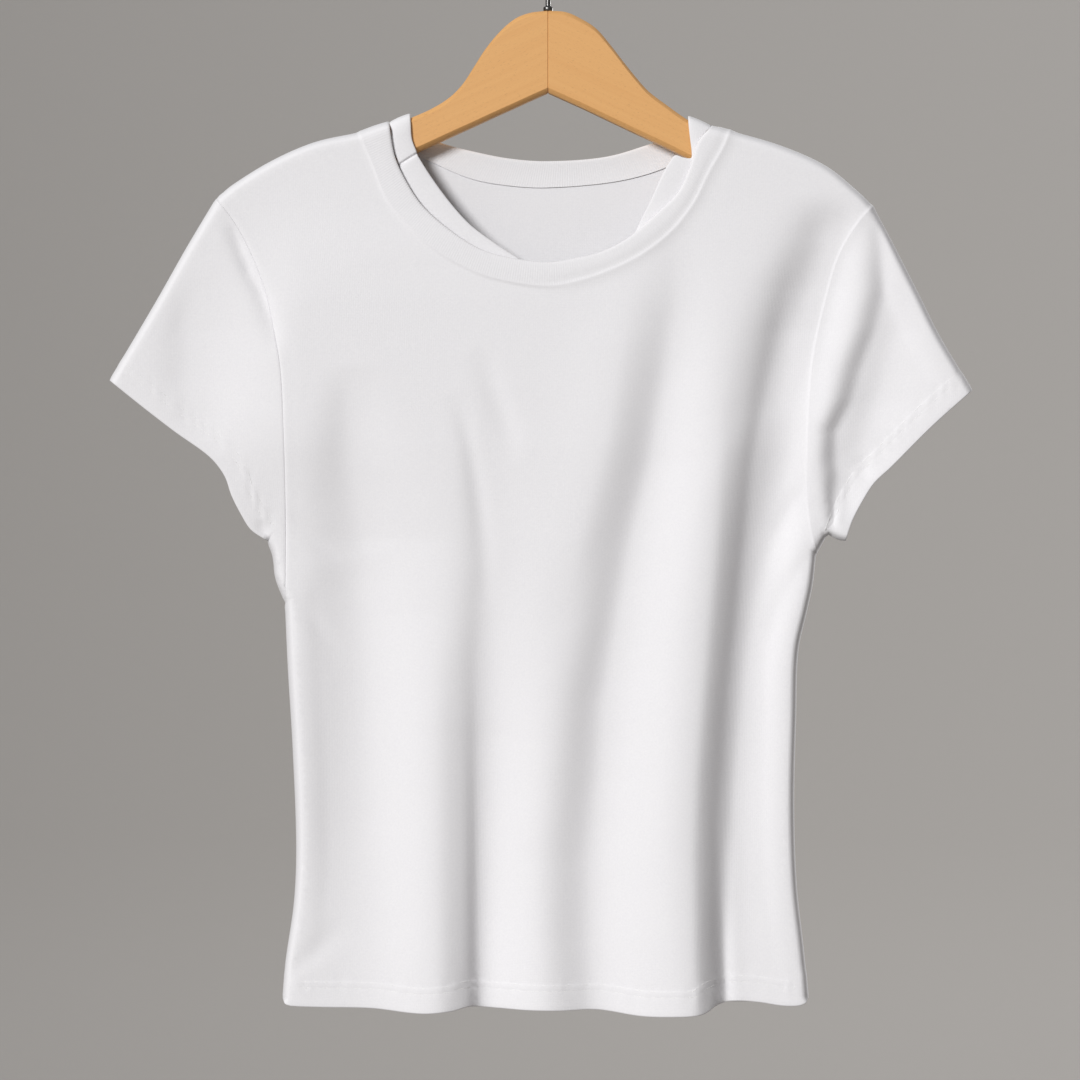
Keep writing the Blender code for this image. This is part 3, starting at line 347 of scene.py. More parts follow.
# --- inner neck facing (mm) -------------------------------------------------------------
# outer x, outer drop, inner x, inner drop, y
# Sections from the top of the arm, over its front and down behind the neck band.
FACING_RIGHT = (
    (-104.2, 1.6, -91.4, -3.8, 2.4),
    (-105.0, 2.0, -91.4, -3.8, -2.4),
    (-104.9, 3.6, -91.3, -2.2, -5.9),
    (-104.0, 8.0, -91.0, 2.0, -7.5),
    (-104.0, 17, -90.2, 12.5, -7.8),
    (-99.9, 27.4, -87.2, 20.9, -7.9),
    (-99.5, 28.5, -86.9, 21.8, -7.9),
    (-99.1, 29.7, -86.6, 22.9, -8.0),
    (-98.6, 31.2, -86.2, 24.0, -8.0),
    (-94, 49, -77.7, 37.5, -8.4),
    (-79.5, 67, -65.4, 54.3, -9.2),
    (-62.5, 80, -51.6, 69.7, -10.0),
    (-42, 91, -34.6, 82.5, -10.8),
    (-21, 97.5, -19.1, 92.5, -11.4),
)
FACING_LEFT = (
    (109.6, 4.5, 94.8, -2.2, 2.4),
    (110.2, 4.6, 94.8, -2.2, -2.4),
    (109.2, 5.9, 94.9, -0.6, -5.9),
    (106.4, 9.6, 95.2, 4.0, -7.5),
    (104.6, 16, 96.2, 13, -7.8),
    (103.2, 23, 97.2, 21.5, -7.9),
    (102.8, 26, 96.8, 25.4, -8.0),
    (102.0, 29, 92.0, 25.2, -8.0),
    (100.8, 32, 86.4, 23.6, -8.0),
    (99.4, 35, 83.4, 26.6, -8.1),
    (97, 40, 77.6, 36.4, -8.2),
    (91.5, 50, 70.6, 52, -8.6),
    (82.5, 61, 64.0, 65.5, -9.2),
    (71, 71, 59.2, 75.5, -9.8),
    (60, 78.6, 56.5, 79.8, -10.2),
)
# The crease across the right facing where it bends round the arm's lower edge.
FACING_CREASE = ((-99.5, 30.5), (-85.5, 21.8))
FACING_CREASE_DEPTH = 1.5
FACING_CREASE_WIDTH = 0.8

# --- hanger arms (mm) -------------------------------------------------------------------
# distance from the joint, right top and bottom drop, left top and bottom drop
ARM_SECTIONS = (
    (0, -73.7, -18.8, -73.7, -18.8),
    (12, -72.3, -13.5, -72.8, -13.4),
    (22, -68.4, -8.9, -68.4, -8.9),
    (32, -60, -4.4, -62, -4.2),
    (42, -48, 0.2, -50.6, 0.6),
    (50, -35.5, 3.9, -40.2, 4.4),
    (58, -23.5, 7.5, -30.2, 8.2),
    (67, -14.8, 11.6, -20, 12.4),
    (78, -8, 16.7, -11.5, 17.6),
    (90, -2.4, 22.2, -3.2, 23.3),
    (106, 5.2, 29.2, 5.6, 30.4),
    (126, 12, 36, 11.2, 37),
    (156, 18.3, 42, 20, 44),
    (184, 30.6, 50.5, 32.2, 52),
    (203, 42.4, 58, 46.4, 61),
    (208, 47, 58.6, 52, 62),
    (210.5, 51.5, 56.5, 56.5, 60),
)

# --- mesh density -----------------------------------------------------------------------
ROLL_STEPS = (0.01, 0.05, 0.12, 0.22, 0.36, 0.54, 0.76, 1.0)   # shares of EDGE_ROLL
SEAM_STEP = 3.3             # spacing of the points along seams and folds
FRONT_CELL = 3.3            # spacing of the points inside the front
BACK_CELL = 3.9
SLEEVE_CELL = 3.3
NECK_STEP = 3.0             # spacing of the points along the neck
BAND_ROWS = (0, 0.03, 0.08, 0.18, 0.34, 0.5, 0.66, 0.82, 0.9, 0.95, 0.98, 0.994, 1)
FACING_ROWS = (0, 0.02, 0.07, 0.2, 0.4, 0.6, 0.8, 0.93, 0.98, 1)
CORNER_CLEARANCE = 0.6      # share of a row's own distance that it keeps from other edges
POINT_CLEARANCE = 0.3       # least distance between points of crossing rows, in row distances
GRID_CLEARANCE = 0.55       # least distance from a grid point to the rows, in cells
WELD = 0.05                 # points of two pieces closer than this share a normal
SAME_POINT = 1e-7           # points of one filling closer than this are one
CREASE_SPANS = 5            # stations between two rows of a crease's table
FACING_SPANS = 10           # the same for a facing
ARM_SPANS = 12              # the same for a hanger arm
CLOTH_SHARP_ANGLE = 75.0    # edges above this angle (degrees) are shaded sharp
WOOD_SHARP_ANGLE = 12.0
WIRE_SHARP_ANGLE = 40.0
ARM_STEP = 2.2              # spacing of the sections along an arm
ARM_TIP_SECTIONS = 8        # sections over the table's last two spans, at the arm's tip
BEVEL_STEPS = 7
FILLET_STEPS = 12
CROOK_STEPS = 90
WIRE_SIDES = 20

# --- studio (m) -------------------------------------------------------------------------
COVE_INNER = 1.2            # radius of the floor's first ring
COVE_FLOOR = -1.9
COVE_FLAT = 3.4             # radius up to which the floor is flat
COVE_BEND = 0.9             # radius of the bend from the floor into the wall
COVE_BEND_STEP = 7.5        # degrees
COVE_WALL = (1.0, 3.4)      # heights of the wall's two rings
COVE_SIDES = 96
KEY_SPOT = (-0.85, -1.4, 0.55)      # where the lights come from, seen from the shirt
BACK_SPOT = (0.85, 1.4, 0.1)
LENS = 110.0                # focal length in mm
CLIP = (0.1, 50.0)


# --- sizes and colours a user may change ------------------------------------------------
class TshirtSizes(bpy.types.PropertyGroup):
    """Sizes of the cloth, its sewing and the hook."""
    cloth: bpy.props.FloatProperty(
        name="Jersey thickness", description="Thickness of one layer of jersey", default=0.8 * MM,
        min=0.3 * MM, max=1.2 * MM, unit="LENGTH", precision=4)
    hem_allowance: bpy.props.FloatProperty(
        name="Turned-up layer", description="Extra thickness inside a hem", default=0.5 * MM,
        min=0, max=1.0 * MM, unit="LENGTH", precision=4)
    pucker: bpy.props.FloatProperty(
        name="Stitch pucker", description="Height of the small waves along the hem stitching",
        default=0.16 * MM, min=0, max=0.6 * MM, unit="LENGTH", precision=5)
    pucker_length: bpy.props.FloatProperty(
        name="Pucker spacing", description="Distance from one small wave to the next",
        default=9.0 * MM, min=3 * MM, max=30 * MM, unit="LENGTH", precision=4)
    stitch: bpy.props.FloatProperty(
        name="Stitch length", description="Length of one hem stitch", default=2.8 * MM,
        min=1.5 * MM, max=4 * MM, unit="LENGTH", precision=4)
    thread: bpy.props.FloatProperty(
        name="Thread width", description="Width of the sewing thread", default=0.36 * MM,
        min=0.2 * MM, max=0.8 * MM, unit="LENGTH", precision=5)
    wire: bpy.props.FloatProperty(
        name="Hook wire radius", description="Radius of the hook's wire", default=1.7 * MM,
        min=1 * MM, max=2.5 * MM, unit="LENGTH", precision=4)
    collar: bpy.props.FloatProperty(
        name="Collar radius", description="Radius of the collar at the hook's foot",
        default=3.2 * MM, min=2 * MM, max=5 * MM, unit="LENGTH", precision=4)


class TshirtColours(bpy.types.PropertyGroup):
    """Colours as sRGB hex values."""
    jersey: bpy.props.StringProperty(name="Jersey", description="White jersey, hex", default="#EEEDEF")
    jersey_shade: bpy.props.StringProperty(
        name="Jersey shade", description="Slightly deeper white between the yarns, hex", default="#E4E3E6")
    thread: bpy.props.StringProperty(name="Thread", description="Sewing thread, hex", default="#F1F1F0")
    beech: bpy.props.StringProperty(name="Beech", description="Lacquered beech, hex", default="#E2AC6C")
    beech_dark: bpy.props.StringProperty(
        name="Beech late wood", description="Darker streaks of the grain, hex", default="#DAA05E")
    beech_fleck: bpy.props.StringProperty(
        name="Beech fleck", description="Short brown ray flecks, hex", default="#B98550")
    steel: bpy.props.StringProperty(name="Wire", description="Dark plated wire, hex", default="#6E6D6C")
    studio: bpy.props.StringProperty(name="Studio", description="Paper cove, hex", default="#9E9B98")
    room: bpy.props.StringProperty(
        name="Room tint", description="Tint of the even light, hex", default="#F4F5F8")


class TshirtLighting(bpy.types.PropertyGroup):
    """Soft lights of the studio."""
    key: bpy.props.FloatProperty(
        name="Key light", description="Soft light from the upper left front", default=2.7, min=0)
    back: bpy.props.FloatProperty(
        name="Back light", description="Soft light on the shirt's back", default=1.9, min=0)
    softness: bpy.props.FloatProperty(
        name="Softness", description="How wide both lights are, in degrees", default=18.0, min=0, max=90)
    room: bpy.props.FloatProperty(
        name="Room light", description="Even light from all round", default=0.4, min=0, subtype="FACTOR")


class TshirtSettings(bpy.types.PropertyGroup):
    """Everything the T-shirt builder can change."""
    sizes: bpy.props.PointerProperty(type=TshirtSizes)
    colours: bpy.props.PointerProperty(type=TshirtColours)
    lighting: bpy.props.PointerProperty(type=TshirtLighting)


# --- small tools ------------------------------------------------------------------------
def smooth_step(value):
    """0 below 0, 1 above 1, and an even S between."""
    value = np.clip(value, 0, 1)
    return value * value * (3 - 2 * value)


def unit(vectors):
    return vectors / np.linalg.norm(vectors, axis=-1)[..., None]


def fine_curve(points, per_span=16):
    """A dense Catmull-Rom line through the points."""
    points = np.array(points, float)
    before = 2 * points[0] - points[1]
    after = 2 * points[-1] - points[-2]
    padded = np.vstack([before, points, after])
    share = np.linspace(0, 1, per_span, endpoint=False)[:, None]
    spans = []
    for a, b, c, d in zip(padded, padded[1:], padded[2:], padded[3:]):
        chord = np.linalg.norm(c - b)
        leave = (c - a) / (np.linalg.norm(b - a) + chord) * chord
        arrive = (d - b) / (chord + np.linalg.norm(d - c)) * chord
        spans.append((2 * share**3 - 3 * share**2 + 1) * b + (share**3 - 2 * share**2 + share) * leave
                     + (3 * share**2 - 2 * share**3) * c + (share**3 - share**2) * arrive)
    return np.vstack(spans + [points[-1:]])


def lengths_along(line):
    return np.concatenate([[0], np.cumsum(np.linalg.norm(np.diff(line, axis=0), axis=1))])


def at_lengths(line, distances):
    along = lengths_along(line)
    return np.stack([np.interp(distances, along, column) for column in line.T], axis=1)


def sample(points, step, rolled_start=False, rolled_end=False):
    """Points of the smooth curve about a step apart, closer at an end that rounds away."""
    line = fine_curve(points)
    length = lengths_along(line)[-1]
    head = [share * EDGE_ROLL for share in ROLL_STEPS] if rolled_start else [0.0]
    tail = [length - share * EDGE_ROLL for share in reversed(ROLL_STEPS)] if rolled_end else [length]
    count = max(1, round((tail[0] - head[-1]) / step))
    distances = head[:-1] + list(np.linspace(head[-1], tail[0], count + 1)) + tail[1:]
    if rolled_start:
        distances.insert(0, 0.0)
    if rolled_end:
        distances.append(length)
    return at_lengths(line, distances)


def nearest_on(points, line):
    """For each point, its distance to a polyline, and the place along it in segments."""
    best = np.full(points.shape[:-1], np.inf)
    place = np.zeros(points.shape[:-1])
    for number, (a, b) in enumerate(zip(line, line[1:])):
        run = b - a
        share = np.clip(((points - a) @ run) / (run @ run), 0, 1)
        gap = np.linalg.norm(points - (a + share[..., None] * run), axis=-1)
        nearer = gap < best
        best = np.where(nearer, gap, best)
        place = np.where(nearer, number + share, place)
    return best, place


def distance_to(points, line):
    return nearest_on(points, line)[0]


FOLDED_EDGES = [fine_curve(edge) for edge in (
    CROSSING_RIGHT, SHOULDER_RIGHT, SLEEVE_TOP_RIGHT, SLEEVE_SEAM_RIGHT, SIDE_RIGHT,
    CROSSING_LEFT, SHOULDER_LEFT, SLEEVE_TOP_LEFT, SLEEVE_SEAM_LEFT, SIDE_LEFT,
)]


# --- depth field ------------------------------------------------------------------------
def fold_offset(points, folds):
    """How far the large folds push the cloth towards the middle plane."""
    total = np.zeros(points.shape[:-1])
    x, drop = points[..., 0], points[..., 1]
    for rows in folds.values():
        drops, centres, depths, lower, upper = np.array(rows, float).T
        depth = np.interp(drop, drops, depths, left=0, right=0)
        centre = np.interp(drop, drops, centres)
        width = np.where(x < centre, np.interp(drop, drops, lower), np.interp(drop, drops, upper))
        total += depth * np.exp(-((x - centre) / width) ** 2)
    return total


def crease_offset(points, creases):
    """The same for the small creases, each along its own line."""
    total = np.zeros(points.shape[:-1])
    for rows in creases.values():
        path = fine_curve(rows, CREASE_SPANS)
        gap, place = nearest_on(points, path[:, :2])
        stations = np.arange(len(path))
        depth = np.interp(place, stations, path[:, 2])
        width = np.interp(place, stations, path[:, 3])
        total += depth * np.exp(-(gap / width) ** 2)
    return total


def half_depth(points, belly, folds, creases):
    """Distance of the cloth from the middle plane at each point of the front view."""
    gap = np.minimum.reduce([distance_to(points, line) for line in FOLDED_EDGES])
    roll = np.sqrt(1 - (1 - np.clip(gap / EDGE_ROLL, 0, 1)) ** 2)
    drops, depths = np.array(belly, float).T
    full = np.interp(points[..., 1], drops, depths)
    flatten = 1 - SLEEVE_FLATNESS * smooth_step((np.abs(points[..., 0]) - SLEEVE_START) / SLEEVE_RUN)
    extra = (full - EDGE_DEPTH) * smooth_step(gap / BELLY_RUN) * flatten
    folded = fold_offset(points, folds) * smooth_step(gap / FOLD_FADE)
    creased = crease_offset(points, creases) * smooth_step(gap / CREASE_FADE)
    return EDGE_DEPTH * roll + extra - folded - creased


def in_space(points, y):
    """The place in space of points in the front view, at their depths y."""
    near = VIEW_AXIS + (points - VIEW_AXIS) * (1 + y / VIEW_DISTANCE)[..., None]
    return np.stack([near[..., 0], y, NECK_POINT_Z - near[..., 1]], axis=-1)


def lay(points, side):
    """Give front-view points their place in space; side is -1 in front, 1 behind."""
    if side < 0:
        y = -half_depth(points, BELLY_FRONT, FRONT_FOLDS, FRONT_CREASES)
    else:
        y = half_depth(points, BELLY_BACK, BACK_FOLDS, BACK_CREASES)
    return in_space(points, y)


# --- flat fillings of an outline --------------------------------------------------------
def inside(points, outline):
    """Whether each point lies inside a closed outline."""
    x, y = points[:, 0], points[:, 1]
    hits = np.zeros(len(points), bool)
    for (ax, ay), (bx, by) in zip(outline, np.roll(outline, -1, axis=0)):
        crosses = (ay > y) != (by > y)
        rise = by - ay if by != ay else 1.0
        hits ^= crosses & (x < (bx - ax) * (y - ay) / rise + ax)
    return hits


def beside(edge, outline, distances):
    """Rows of points inside the outline, each at its distance from one edge."""
    closed = np.vstack([outline, outline[:1]])
    normals = unit(np.gradient(edge, axis=0)[:, ::-1] * (1, -1))
    if inside(edge[1:-1] + normals[1:-1] * distances[0], outline).mean() < 0.5:
        normals = -normals
    for distance in distances:
        row = edge + normals * distance
        clear = distance_to(row, closed) > CORNER_CLEARANCE * distance
        yield distance, row[inside(row, outline) & clear]


def clear_of(points, others, gap):
    """The points that keep a gap from all the others."""
    tree = KDTree(len(others))
    for number, (x, y) in enumerate(others):
        tree.insert((x, y, 0), number)
    tree.balance()
    return [point for point in points if tree.find((point[0], point[1], 0))[2] > gap]


def fill(outline, edge_rows, cell):
    """Triangles over an outline: rows beside its edges and an even grid inside."""
    points = list(outline)
    for edge, distances in edge_rows:
        found = []
        for distance, row in beside(edge, outline, distances):
            found += clear_of(row, points, POINT_CLEARANCE * min(distance, cell))
        points += found
    low, high = outline.min(axis=0), outline.max(axis=0)
    columns = np.arange(low[0], high[0], cell)
    rows = np.arange(low[1], high[1], cell * math.sqrt(3) / 2)
    grid = np.array([(x + cell / 2 * (row % 2), y) for row, y in enumerate(rows) for x in columns])
    points += clear_of(grid[inside(grid, outline)], points, GRID_CLEARANCE * cell)
    ring = list(range(len(outline)))
    closed = np.vstack([outline, outline[:1]])
    if np.sum(closed[:-1, 0] * closed[1:, 1] - closed[1:, 0] * closed[:-1, 1]) > 0:
        ring.reverse()
    found = delaunay_2d_cdt([Vector((x, -y)) for x, y in points], [], [ring], 1, SAME_POINT)
    origin = [group[0] for group in found[3]]
    triangles = np.array([[origin[i] for i in face] for face in found[2]])
    return np.array(points), triangles


def join_outline(parts):
    """One closed outline from its sides, and for each side its run of point numbers."""
    points, runs = [], []
    for part in parts:
        start = len(points)
        points.extend(part[:-1])
        runs.append(list(range(start, start + len(part))))
    runs[-1][-1] = 0
    return np.array(points), runs


def seam_line(neck_sections):
    """Where the neck band's seam runs in the front view."""
    return [row[:2] for row in neck_sections]


ROLL_ROWS = tuple(share * EDGE_ROLL for share in ROLL_STEPS)


def row_distances(relief):
    """The distances of a relief table at which the mesh needs a row of points."""
    return tuple(distance for distance, _ in relief if distance > 0)


def relief_at(distances, relief):
    return np.interp(distances, *np.array(relief, float).T)


def relief_of_sides(distances, x, right, left):
    """A relief that turns from the right side's into the left side's across the middle."""
    leftness = smooth_step(0.5 + x / SIDE_BLEND)
    return (1 - leftness) * relief_at(distances, right) + leftness * relief_at(distances, left)


def relief_height(flat, edges):
    """Height of the outer face over the plain cloth, from the relief beside each edge."""
    total = np.zeros(len(flat))
    for line, right, left in edges:
        total += relief_of_sides(distance_to(flat, fine_curve(line)), flat[:, 0], right, left)
    return total


# --- sheets of cloth --------------------------------------------------------------------
def body_panel(neck_sections, hem, side, cell):
    """Front or back panel: points, outward triangles and front-view places."""
    lines = {
        "right shoulder": sample(SHOULDER_RIGHT, SEAM_STEP),
        "right armhole": sample(ARMHOLE_RIGHT, SEAM_STEP, True, True),
        "right side": sample(SIDE_RIGHT, SEAM_STEP),
        "hem": sample(hem, SEAM_STEP, True, True),
        "left side": sample(SIDE_LEFT, SEAM_STEP)[::-1],
        "left armhole": sample(ARMHOLE_LEFT, SEAM_STEP, True, True)[::-1],
        "left shoulder": sample(SHOULDER_LEFT, SEAM_STEP)[::-1],
        "neck": sample(seam_line(neck_sections), NECK_STEP, True, True)[::-1],
    }
    outline, _ = join_outline(lines.values())
    rows = [(lines[name], ROLL_ROWS)
            for name in ("right shoulder", "left shoulder", "right side", "left side")]
    rows += [(lines["right armhole"], row_distances(RIGHT_ARMHOLE_BODY)),
             (lines["left armhole"], row_distances(LEFT_ARMHOLE_BODY)),
             (lines["neck"], row_distances(NECK_SEAM_RIGHT if side < 0 else NECK_SEAM_BACK)),
             (lines["hem"], row_distances(HEM_RELIEF))]
    flat, triangles = fill(outline, rows, cell)
    return lay(flat, side), triangles[:, ::-side], flat


def sleeve(armhole, top_fold, cuff, seam, armhole_relief):
    """A sleeve: its front and back halves share the upper fold and the sleeve seam."""
    set_in = sample(armhole, SEAM_STEP, True, True)
    underarm = sample(seam, SEAM_STEP)
    free = sample(cuff, SEAM_STEP, True, True)[::-1]
    fold = sample(top_fold, SEAM_STEP)[::-1]
    outline, runs = join_outline((set_in, underarm, free, fold))
    rows = [(fold, ROLL_ROWS), (underarm, ROLL_ROWS), (set_in, row_distances(armhole_relief)),
            (free, row_distances(CUFF_RELIEF))]
    flat, triangles = fill(outline, rows, SLEEVE_CELL)
    shared = sorted(set(runs[1]) | set(runs[3]))
    renumber = np.arange(len(flat)) + len(flat)
    renumber[shared] = shared
    both = np.vstack([lay(flat, -1), lay(flat, 1)])
    both_triangles = np.vstack([triangles, renumber[triangles][:, ::-1]])
    used, compact = np.unique(both_triangles, return_inverse=True)
    return both[used], compact.reshape(-1, 3), np.vstack([flat, flat])[used]


def grid_triangles(rows, columns, closed):
    """Triangles of a grid of points; a closed grid joins its last column to the first."""
    last = columns if closed else columns - 1
    triangles = []
    for row in range(rows - 1):
        for column in range(last):
            a, b = row * columns + column, row * columns + (column + 1) % columns
            triangles += [(a, b, b + columns), (a, b + columns, a + columns)]
    return np.array(triangles)


def neck_ring():
    """The neck band from its seam to its free edge, with the place along and across it."""
    strips, along_strips = [], []
    start = 0.0
    for sections, side in ((NECK_FRONT, -1), (NECK_BACK, 1)):
        seam = sample(seam_line(sections), NECK_STEP, True, True)
        along = lengths_along(seam)
        edge = fine_curve([row[2:] for row in sections])
        free = at_lengths(edge, along / along[-1] * lengths_along(edge)[-1])
        rows = [lay(seam + (free - seam) * share, side) for share in BAND_ROWS]
        for row in rows:
            row[[0, -1], 1] = 0
        strip = np.stack(rows)
        if side > 0:
            strip, along = strip[:, ::-1][:, 1:-1], (along[-1] - along[::-1])[1:-1]
        strips.append(strip)
        along_strips.append(start + along)
        start += along[-1]
    grid = np.concatenate(strips, axis=1)
    places = np.concatenate(along_strips)
    across = np.linalg.norm(grid - grid[0], axis=-1)
    uvs = np.stack([np.broadcast_to(places, grid.shape[:2]), across], axis=-1) * MM
    return grid, grid_triangles(*grid.shape[:2], True), uvs


# --- shells -----------------------------------------------------------------------------
def shared_normals(sheets):
    """Unit normals of all sheets, the same for two sheets wherever they meet at a seam.

    On a folded edge, in the middle plane, the normal lies in that plane.
    """
    totals, keys = {}, []
    for points, triangles in sheets:
        corners = points[triangles]
        cells = unit(np.cross(corners[:, 1] - corners[:, 0], corners[:, 2] - corners[:, 0]))
        sums = np.zeros_like(points)
        for corner in range(3):
            ahead = unit(corners[:, (corner + 1) % 3] - corners[:, corner])
            behind = unit(corners[:, (corner + 2) % 3] - corners[:, corner])
            angle = np.arccos(np.clip(np.sum(ahead * behind, axis=1), -1, 1))
            np.add.at(sums, triangles[:, corner], cells * angle[:, None])
        keys.append([tuple(key) for key in np.round(points / WELD).astype(int).tolist()])
        for key, value in zip(keys[-1], sums):
            totals[key] = totals.get(key, 0) + value
    result = []
    for sheet_keys in keys:
        normals = np.array([totals[key] for key in sheet_keys])
        on_fold = np.array([key[1] == 0 for key in sheet_keys])
        normals[on_fold, 1] = 0
        result.append(unit(normals))
    return result


def rounded(distance, radius):
    """Share of the full thickness at a distance from a folded free edge."""
    return np.sqrt(1 - (1 - np.clip(distance / radius, LEAST_ROUND, 1)) ** 2)


def shell(name, points, triangles, normals, outer, inner, material, uvs=None):
    """A closed thin shell between an outer and an inner offset from a sheet (mm)."""
    outer, inner = np.broadcast_to(outer, len(points)), np.broadcast_to(inner, len(points))
    verts = np.concatenate([points + normals * outer[:, None], points + normals * inner[:, None]])
    count = len(points)
    directed = {(t[i], t[(i + 1) % 3]) for t in triangles.tolist() for i in range(3)}
    rims = [(b, a, a + count, b + count) for a, b in sorted(directed) if (b, a) not in directed]
    faces = triangles.tolist() + (triangles[:, ::-1] + count).tolist() + rims
    obj = add_object(name, verts * MM, faces, material)
    if uvs is not None:
        both = np.vstack([uvs, uvs])
        span = both[:, 0].max()
        layer = obj.data.uv_layers.new(name="along_across")
        for face in obj.data.polygons:
            corners = both[list(face.vertices)]
            if corners[:, 0].max() - corners[:, 0].min() > span / 2:
                corners[corners[:, 0] < span / 2, 0] += span
            for loop, uv in zip(face.loop_indices, corners):
                layer.data[loop].uv = uv
    return obj


def add_object(name, verts, faces, material, sharp_angle=CLOTH_SHARP_ANGLE):
    """A mesh object with smooth shading up to an angle (degrees)."""
    mesh = bpy.data.meshes.new(name)
    mesh.from_pydata(np.asarray(verts).tolist(), [], faces)
    mesh.shade_smooth()
    mesh.set_sharp_from_angle(angle=math.radians(sharp_angle))
    mesh.materials.append(material)
    obj = bpy.data.objects.new(name, mesh)
    bpy.context.scene.collection.objects.link(obj)
    return obj


def hang(name):
    """Look up a sheet of cloth's size as cut, from CUTS; nothing further is done with it."""
    width, length, area = CUTS[name]


def dress(obj, slot, *nodes):
    """Put a finished piece on the frame in place of its CAD nodes."""
    if len(obj.data.polygons) == 0:
        raise RuntimeError(f"{obj.name} has no faces")
    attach(obj, "root")
    if nodes:
        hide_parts(*nodes)
    return obj


def loft(name, rings, material, sharp_angle):
    """A closed solid through a row of rings, with both ends capped."""
    size = len(rings[0])
    verts = [point for ring in rings for point in ring]
    faces = [tuple(reversed(range(size)))]
    for row in range(len(rings) - 1):
        for column in range(size):
            following = (column + 1) % size
            faces.append((row * size + column, row * size + following,
                          (row + 1) * size + following, (row + 1) * size + column))
    start = (len(rings) - 1) * size
    faces.append(tuple(range(start, start + size)))
    return add_object(name, verts, faces, material, sharp_angle)


# --- materials --------------------------------------------------------------------------
def linear(hex_value):
    """Linear RGBA from an sRGB hex value."""
    channels = [int(hex_value[i:i + 2], 16) / 255 for i in (1, 3, 5)]
    return [c / 12.92 if c <= 0.04045 else ((c + 0.055) / 1.055) ** 2.4 for c in channels] + [1.0]


def add_node(tree, kind, settings=(), links=()):
    """Add a node, set its properties and sockets, and link other nodes' sockets into it."""
    new = tree.nodes.new(kind)
    for key, value in dict(settings).items():
        if isinstance(key, str) and hasattr(new, key):
            setattr(new, key, value)
        else:
            new.inputs[key].default_value = value
    for key, source in dict(links).items():
        tree.links.new(source, new.inputs[key])
    return new


def new_material(name):
    """An empty node material: its tree, and the material itself."""
    material = bpy.data.materials.new(name)
    material.use_nodes = True
    material.node_tree.nodes.clear()
    return material, material.node_tree


def bands_per_metre(spacing_mm):
    """Scale of a wave texture whose bands are a real distance apart."""
    return math.pi / 10 / (spacing_mm * MM)


def grains_per_metre(size_mm):
    """Scale of a noise texture whose grains have a real size."""
    return 1 / (size_mm * MM)


def jersey_material(colours):
    """White cotton single jersey, knitted, washed and pressed: a dull, soft white."""
    material, tree = new_material("cotton_single_jersey_knitted")
    place = add_node(tree, "ShaderNodeTexCoord")
    # The wales are turned a little about the vertical, so that they also show on the sides.
    turn = math.radians(35)
    turned = add_node(tree, "ShaderNodeMapping", {"Rotation": (0, 0, turn)},
                      {"Vector": place.outputs["Object"]})
    # Real wales are 0.9 mm and real courses 0.7 mm apart, too fine to show, so they are drawn
    # 1.5 mm and 1.1 mm apart.
    wales = add_node(tree, "ShaderNodeTexWave",
                     {"wave_type": "BANDS", "bands_direction": "X", "wave_profile": "SIN",
                      "Scale": bands_per_metre(1.5 * math.cos(turn)), "Distortion": 0.6,
                      "Detail": 1.0, "Detail Scale": 0.6},
                     {"Vector": turned.outputs["Vector"]})
    courses = add_node(tree, "ShaderNodeTexWave",
                       {"wave_type": "BANDS", "bands_direction": "Z", "wave_profile": "SIN",
                        "Scale": bands_per_metre(1.1), "Distortion": 0.8, "Detail": 1.0},
                       {"Vector": place.outputs["Object"]})
    loops = add_node(tree, "ShaderNodeMath", {"operation": "MULTIPLY"},
                     {0: wales.outputs["Fac"], 1: courses.outputs["Fac"]})
    fuzz = add_node(tree, "ShaderNodeTexNoise", {"Scale": grains_per_metre(1.3), "Detail": 4.0},
                    {"Vector": place.outputs["Object"]})
    drape = add_node(tree, "ShaderNodeTexNoise",
                     {"Scale": grains_per_metre(38), "Detail": 2.0, "Roughness": 0.45},
                     {"Vector": place.outputs["Object"]})
    softness = add_node(tree, "ShaderNodeBump", {"Strength": 0.5, "Distance": 0.6 * MM},
                        {"Height": drape.outputs["Fac"]})
    fibres = add_node(tree, "ShaderNodeBump", {"Strength": 0.35, "Distance": 0.12 * MM},
                      {"Height": fuzz.outputs["Fac"], "Normal": softness.outputs["Normal"]})
    knit = add_node(tree, "ShaderNodeBump", {"Strength": 0.3, "Distance": 0.12 * MM},
                    {"Height": loops.outputs["Value"], "Normal": fibres.outputs["Normal"]})
    tint = add_node(tree, "ShaderNodeMix",
                    {"data_type": "RGBA", 6: linear(colours.jersey_shade), 7: linear(colours.jersey)},
                    {0: fuzz.outputs["Fac"]})
    # Loose surface fibres catch light at grazing angles and keep the white from looking like
    # paper.
    shader = add_node(tree, "ShaderNodeBsdfPrincipled",
                      {"Roughness": 0.88, "IOR": 1.46, "Specular IOR Level": 0.25,
                       "Sheen Weight": 0.18, "Sheen Roughness": 0.45},
                      {"Base Color": tint.outputs[2], "Normal": knit.outputs["Normal"]})
    add_node(tree, "ShaderNodeOutputMaterial", links={"Surface": shader.outputs["BSDF"]})
    return material


